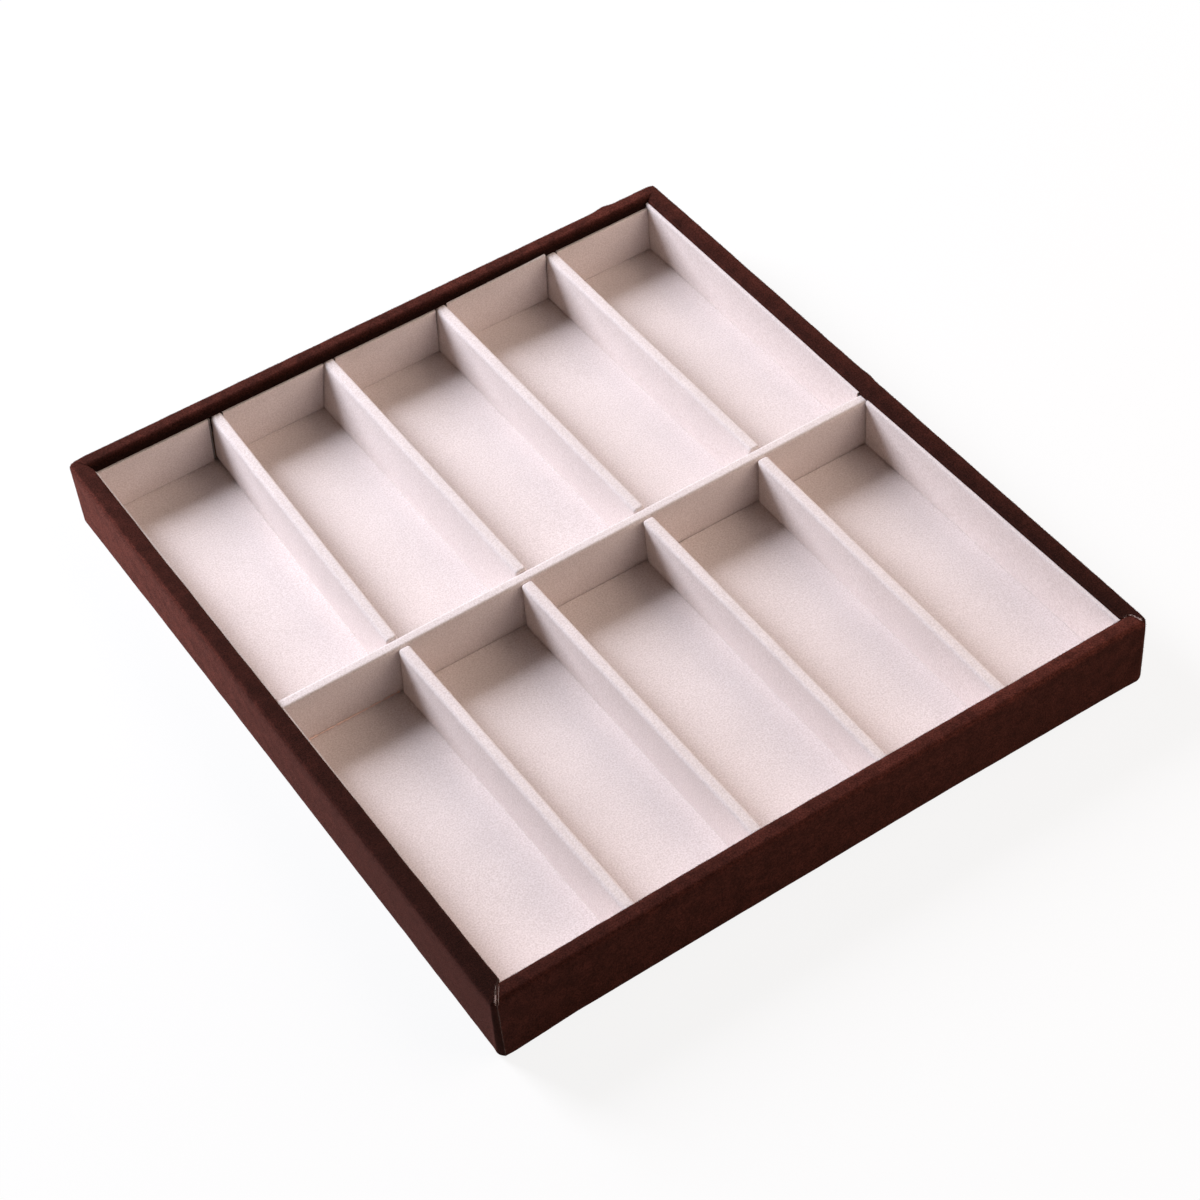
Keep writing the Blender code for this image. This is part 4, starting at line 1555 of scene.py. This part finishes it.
@dataclass
class LoosePile:
    """The fuzz on the velvet: short tips along the rims and sparse ones on the outer faces."""

    finishes: Finishes
    strips: dict[Wall, bpy.types.Object]
    density: float = 4.5e6
    length: float = 0.5 * MM
    width: float = 0.09 * MM
    spread: float = 0.8
    first_seed: int = 11

    def build(self) -> None:
        """Grows the fuzz of each wall as one piece."""
        tree = PileTree()
        for seed, (wall, strip) in enumerate(self.strips.items(), self.first_seed):
            values = {
                "Density": self.density, "Fibre Length": self.length, "Fibre Width": self.width,
                "Spread": self.spread, "Seed": seed, "Material": self.finishes.pile,
            }
            dress(tree.grow(f"{wall.value}_velvet_fuzz", values, strip.data.copy()))


class FrayTree(FibreTree):
    """Yarn pulled loose along a cut edge: a broken wandering thread with short fibres standing off it."""

    # How often a fibre's shade, a thread's strays and its breaks repeat, in waves per metre
    tones: float = 700.0
    strays: float = 900.0
    breaks: float = 420.0

    def __init__(self) -> None:
        """Builds the tree."""
        super().__init__(
            "frayed_edge",
            {
                "Float": (
                    "Pitch", "Thread", "Thinnest", "Wander", "Fibre Pitch", "Fibre Length", "Fibre Width",
                    "Spread",
                ),
                "Vector": ("Outward",), "Int": ("Seed",), "Material": ("Material",),
            },
        )
        given = self.given
        place = self.add("GeometryNodeInputPosition")[0]
        line = self._wandering(place)
        roots = self.add(
            "GeometryNodeCurveToPoints", {"Curve": line, "Length": given["Fibre Pitch"]}, mode="LENGTH"
        )["Points"]
        wide = self.add(
            "FunctionNodeRandomValue",
            {0: (-1.0, -1.0, -1.0), 1: (1.0, 1.0, 1.0), "Seed": given["Seed"]}, data_type="FLOAT_VECTOR",
        )[0]
        aim = self.chain(
            "ShaderNodeVectorMath", wide, ("SCALE", {"Scale": given["Spread"]}),
            ("ADD", {1: given["Outward"]}),
        )
        turned = self.add("FunctionNodeAlignRotationToVector", {"Vector": aim}, axis="Z")[0]
        fibres = self.plant(roots, turned, 0.3, 1.3)
        real = self.add("GeometryNodeRealizeInstances", {"Geometry": fibres})[0]
        joined = self.add("GeometryNodeJoinGeometry", {0: [self._thread(line, place), real]})[0]
        tone = self.add("ShaderNodeTexNoise", {"Vector": place, "Scale": self.tones, "Detail": 1.0})[0]
        shaded = self.add(
            "GeometryNodeStoreNamedAttribute", {"Geometry": joined, "Name": "fibre_shade", "Value": tone},
            data_type="FLOAT", domain="POINT",
        )[0]
        self.close(shaded)

    def _wandering(self, place: bpy.types.NodeSocket) -> bpy.types.NodeSocket:
        """Pulls the edge's line this way and that.

        Args:
            place: The places of its points.

        Returns:
            The line, as a curve.
        """
        given = self.given
        line = self.add("GeometryNodeMeshToCurve", {"Mesh": given["Base"]})[0]
        even = self.add(
            "GeometryNodeResampleCurve", {"Curve": line, "Length": given["Pitch"]}, mode="LENGTH"
        )[0]
        stray = self.add(
            "ShaderNodeTexNoise",
            {"Vector": place, "W": given["Seed"], "Scale": self.strays, "Detail": 1.0},
            noise_dimensions="4D",
        )["Color"]
        offset = self.chain(
            "ShaderNodeVectorMath", stray, ("SUBTRACT", {1: (0.5, 0.5, 0.5)}),
            ("SCALE", {"Scale": given["Wander"]}),
        )
        return self.add("GeometryNodeSetPosition", {"Geometry": even, "Offset": offset})[0]

    def _thread(self, line: bpy.types.NodeSocket, place: bpy.types.NodeSocket) -> bpy.types.NodeSocket:
        """Runs a thread along the line, thin or broken where it has come apart.

        Args:
            line: The line, as a curve.
            place: The places of its points.

        Returns:
            The thread's shape.
        """
        given = self.given
        breaks = self.add(
            "ShaderNodeTexNoise",
            {"Vector": place, "W": given["Seed"], "Scale": self.breaks, "Detail": 2.0},
            noise_dimensions="4D",
        )[0]
        fine = self.add(
            "ShaderNodeMapRange",
            {
                "Value": breaks, "From Min": 0.38, "From Max": 0.58, "To Min": given["Thinnest"],
                "To Max": 1.0,
            },
        )[0]
        girth = self.chain("ShaderNodeMath", fine, ("MULTIPLY", {1: given["Thread"]}))
        ring = self.add(
            "GeometryNodeCurvePrimitiveCircle", {"Resolution": 5, "Radius": 1.0}, mode="RADIUS"
        )[0]
        return self.add(
            "GeometryNodeCurveToMesh",
            {"Curve": line, "Profile Curve": ring, "Scale": girth, "Fill Caps": True},
        )[0]


@dataclass
class FrayedSeams:
    """Backing yarn at the two front corners, where the cut ends of the velvet meet, and the line of glue at
    the foot of the long divider."""

    finishes: Finishes
    seams: dict[Wall, tuple[np.ndarray, np.ndarray]]
    left_outward: tuple[float, float, float] = (-0.5, -0.6, 0.5)
    right_outward: tuple[float, float, float] = (0.4, -0.3, 0.8)
    glue_outward: tuple[float, float, float] = (0.0, -1.0, 0.5)
    # The glue line in the front left compartment: where it starts and ends along the row, and where it lies
    glue_run_mm: tuple[float, float] = (-146.0, -95.5)
    glue_place_mm: tuple[float, float] = (-3.15, 6.6)
    glue_points: int = 40
    # The left seam's parts: how far up the wall its yarn goes, where the rim begins and where the tuft ends
    wall_face: float = 1.0 * MM - HALF_DEPTH
    wall_part: tuple[float, float] = (0.8 * MM, HEIGHT - 1.5 * MM)
    rim_part: float = HEIGHT - 3.0 * MM
    tuft_end: float = 1.8 * MM - HALF_DEPTH
    # The right seam's part over the hump: above this height, and up to this far along
    hump_bottom: float = HEIGHT - 0.9 * MM
    hump_end: float = HALF_WIDTH - 1.7 * MM
    # The threads over the left rim lie on either side of the seam, and all stand a little above the pile
    beside_seam: tuple[float, float, float] = (0.45 * MM, -0.45 * MM, 0.0)
    above_pile: tuple[float, float, float] = (0.0, 0.0, 0.1 * MM)
    tuft_aside: float = -0.6
    hump_above: float = 1.5

    def line(self, points: np.ndarray) -> bpy.types.Mesh:
        """Makes a mesh of edges alone.

        Args:
            points: The places that it joins, one after the other.

        Returns:
            The mesh.
        """
        mesh = bpy.data.meshes.new("seam_line")
        mesh.from_pydata(points.tolist(), [(i, i + 1) for i in range(len(points) - 1)], [])
        return mesh

    def glue_line(self) -> np.ndarray:
        """The places of the glue along the foot of the long divider."""
        along = np.linspace(*self.glue_run_mm, self.glue_points)
        return np.column_stack([along, *(np.full(self.glue_points, v) for v in self.glue_place_mm)]) * MM

    def strands(self) -> dict[str, tuple[np.ndarray, dict[str, Any]]]:
        """Draws every strand.

        Returns:
            For each one's name, its line and the inputs in which it differs from a usual one.
        """
        (left, right), finishes = self.seams[Wall.FRONT], self.finishes
        aside, above = np.array(self.beside_seam), np.array(self.above_pile)
        low_end, high_end = self.wall_part
        heights = left[:, 2]
        on_wall = left[(left[:, 1] < self.wall_face) & (heights > low_end) & (heights < high_end)]
        rim = left[heights > self.rim_part]
        knot = rim[rim[:, 1] < self.tuft_end] + aside * self.tuft_aside + above
        over_hump = (right[:, 2] > self.hump_bottom) & (right[:, 0] < self.hump_end)
        hump = right[over_hump] + above * self.hump_above
        return {
            "left_corner_yarn": (on_wall, {"Fibre Pitch": 0.6 * MM, "Material": finishes.dull_yarn}),
            "left_rim_yarn": (
                rim + aside + above,
                {"Thread": 0.07 * MM, "Fibre Pitch": 0.25 * MM, "Seed": 7, "Thinnest": 0.0},
            ),
            "left_rim_outer_yarn": (
                rim - aside + above,
                {"Thread": 0.05 * MM, "Fibre Pitch": 0.5 * MM, "Seed": 8, "Thinnest": 0.0},
            ),
            "left_corner_tuft": (
                knot,
                {
                    "Thread": 0.2 * MM, "Fibre Pitch": 0.05 * MM, "Fibre Length": 1.0 * MM,
                    "Fibre Width": 0.2 * MM, "Seed": 9, "Material": finishes.bright_yarn,
                },
            ),
            "right_corner_yarn": (
                hump,
                {
                    "Outward": self.right_outward, "Thread": 0.16 * MM, "Fibre Pitch": 0.08 * MM,
                    "Fibre Width": 0.2 * MM, "Thinnest": 0.0, "Material": finishes.bright_yarn,
                },
            ),
            "foot_glue_line": (
                self.glue_line(),
                {
                    "Outward": self.glue_outward, "Thread": 0.46 * MM, "Wander": 0.25 * MM,
                    "Fibre Pitch": 30 * MM, "Fibre Length": 0.3 * MM, "Material": finishes.glue,
                },
            ),
        }

    def build(self) -> None:
        """Makes the threads and the tuft of the left corner, the thread over the hump of the right corner,
        and the line of glue."""
        tree = FrayTree()
        usual = {
            "Pitch": 0.25 * MM, "Thread": 0.1 * MM, "Wander": 0.5 * MM, "Fibre Pitch": 0.12 * MM,
            "Fibre Length": 0.7 * MM, "Fibre Width": 0.13 * MM, "Spread": 1.1, "Seed": 5, "Thinnest": 0.25,
            "Outward": self.left_outward, "Material": self.finishes.yarn,
        }
        for name, (points, values) in self.strands().items():
            dress(tree.grow(name, usual | values, self.line(points)))


@dataclass
class BoardWork:
    """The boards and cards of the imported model, which keep their shapes and get their finishes."""

    finishes: Finishes

    def build(self) -> None:
        """Gives every board, card and paper its finish."""
        for name, node in sorted(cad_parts.items()):
            for part_slot in node.material_slots:
                stock = self.finishes.stock.get(part_slot.material.name.split(".")[0])
                if stock:
                    part_slot.material = stock
                    log.info("%s: %s", name, stock.name)


@dataclass(frozen=True)
class Lamp:
    """A soft rectangular lamp: where it hangs, seen from the tray, and its size, power and colour.

    Attributes:
        name: The lamp's name.
        azimuth: Degrees from the tray's back towards its right.
        elevation: Degrees above the floor.
        side: Its width.
        watts: Its power.
        colour_hex: Its colour.
        distance: How far off it hangs.
        tall: Its height; 0 for a square one.
    """

    name: str
    azimuth: float
    elevation: float
    side: float
    watts: float
    colour_hex: str
    distance: float = 1.3
    tall: float = 0.0

    def hang(self) -> None:
        """Hangs the lamp so that it faces the tray."""
        data = bpy.data.lights.new(self.name, "AREA")
        data.shape, data.energy = "RECTANGLE", self.watts
        data.size, data.size_y = self.side, self.tall or self.side
        data.color = linear_rgba(self.colour_hex)[:3]
        az, el = math.radians(self.azimuth), math.radians(self.elevation)
        aim = Vector((math.sin(az) * math.cos(el), math.cos(az) * math.cos(el), math.sin(el)))
        hung = put(self.name, data)
        hung.location = aim * self.distance
        hung.rotation_euler = aim.to_track_quat("Z", "Y").to_euler()


@dataclass
class Studio:
    """The camera at the photograph's angle, a pale floor and soft lamps."""

    azimuth: float = -29.51
    elevation: float = 47.20
    roll: float = -5.64
    location: tuple[float, float, float] = (-0.38508, -0.68980, 0.84929)
    lens_mm: float = 81.308
    sensor_mm: float = 36.0
    # A lamp like a window, low behind the tray, and a warm bounce from the front right
    lamps: tuple[Lamp, ...] = (
        Lamp("window_lamp", -24.5, 33.0, 0.6, 50.9, "#eff2ff", 1.7, 0.9),
        Lamp("front_bounce", 121.0, 39.0, 1.2, 11.6, "#ffebde"),
    )
    fill_hex: str = "#ffd8bd"
    fill_level: float = 0.01
    floor_hex: str = "#f4f2f0"
    floor_half: float = 4.0
    floor_drop: float = 0.2 * MM
    # The shadow shows round the tray; further off the floor is as white as the surround
    near_white: float = 0.86
    near_reach: float = 0.25
    far_reach: float = 0.65

    def add_camera(self) -> None:
        """Sets the camera where the photograph was taken from."""
        data = bpy.data.cameras.new("view_camera")
        data.sensor_width, data.lens = self.sensor_mm, self.lens_mm
        data.clip_start, data.clip_end = 0.05, 20.0
        az, el, roll = (math.radians(d) for d in (self.azimuth, self.elevation, self.roll))
        back = Vector((math.sin(az) * math.cos(el), -math.cos(az) * math.cos(el), math.sin(el)))
        right = (-back).cross(Vector((0, 0, 1))).normalized()
        up = right.cross(-back)
        across = right * math.cos(roll) + up * math.sin(roll)
        upright = up * math.cos(roll) - right * math.sin(roll)
        camera = put("view_camera", data)
        turned = Matrix((across, upright, back)).transposed().to_4x4()
        camera.matrix_world = Matrix.Translation(self.location) @ turned
        bpy.context.scene.camera = camera

    def add_floor(self) -> None:
        """Lays a wide pale floor that the camera sees nearly white, with the tray's soft shadow kept."""
        shape = bmesh.new()
        bmesh.ops.create_grid(shape, x_segments=1, y_segments=1, size=self.floor_half)
        bmesh.ops.translate(shape, verts=shape.verts, vec=(0, 0, -self.floor_drop))
        mesh = bpy.data.meshes.new("studio_floor")
        shape.to_mesh(mesh)
        shape.free()
        surface = SurfaceTree("pale_studio_floor")
        place = surface.add("ShaderNodeTexCoord")["Object"]
        away = surface.add("ShaderNodeVectorMath", {0: place}, operation="LENGTH")["Value"]
        whitened = surface.add(
            "ShaderNodeMapRange",
            {
                "Value": away, "From Min": self.near_reach, "From Max": self.far_reach,
                "To Min": self.near_white, "To Max": 1.0,
            },
        )["Result"]
        path = surface.add("ShaderNodeLightPath")
        share = surface.chain(
            "ShaderNodeMath", path["Is Camera Ray"], ("MAXIMUM", {1: path["Is Glossy Ray"]}),
            ("MAXIMUM", {1: path["Is Transmission Ray"]}), ("MULTIPLY", {1: whitened}),
        )
        matt = surface.add("ShaderNodeBsdfDiffuse", {"Color": linear_rgba(self.floor_hex)})[0]
        white = surface.add("ShaderNodeEmission", {"Color": WHITE, "Strength": 1.0})[0]
        mesh.materials.append(
            surface.close(surface.add("ShaderNodeMixShader", {0: share, 1: matt, 2: white})[0])
        )
        put("studio_floor", mesh)

    def add_world(self) -> None:
        """Surrounds the tray with weak warm light, which the camera sees as white."""
        world = bpy.data.worlds.new("studio_surround")
        world.use_nodes = True
        light = NodeWork(world.node_tree)
        path = light.add("ShaderNodeLightPath")
        direct = light.chain(
            "ShaderNodeMath", path["Is Camera Ray"], ("MAXIMUM", {1: path["Is Transmission Ray"]})
        )
        fill = light.add(
            "ShaderNodeBackground", {"Color": linear_rgba(self.fill_hex), "Strength": self.fill_level}
        )[0]
        white = light.add("ShaderNodeBackground", {"Color": WHITE, "Strength": 1.0})[0]
        mixed = light.add("ShaderNodeMixShader", {0: direct, 1: fill, 2: white})[0]
        light.add("ShaderNodeOutputWorld", {"Surface": mixed})
        bpy.context.scene.world = world

    def build(self) -> None:
        """Sets up the camera, the floor, the lamps and the world."""
        bpy.context.scene.view_settings.view_transform = "Standard"
        self.add_camera()
        self.add_floor()
        for lamp in self.lamps:
            lamp.hang()
        self.add_world()


def main() -> None:
    """Builds the tray's looks piece by piece, then the studio."""
    logging.basicConfig(level=logging.INFO, format="%(message)s")
    finishes = Finishes()
    BoardWork(finishes).build()
    SuedeLining(finishes).build()
    shell = VelvetShell(finishes)
    strips = shell.build()
    LoosePile(finishes, strips).build()
    FrayedSeams(finishes, shell.seams).build()
    Studio().build()


if __name__ == "__main__":
    main()
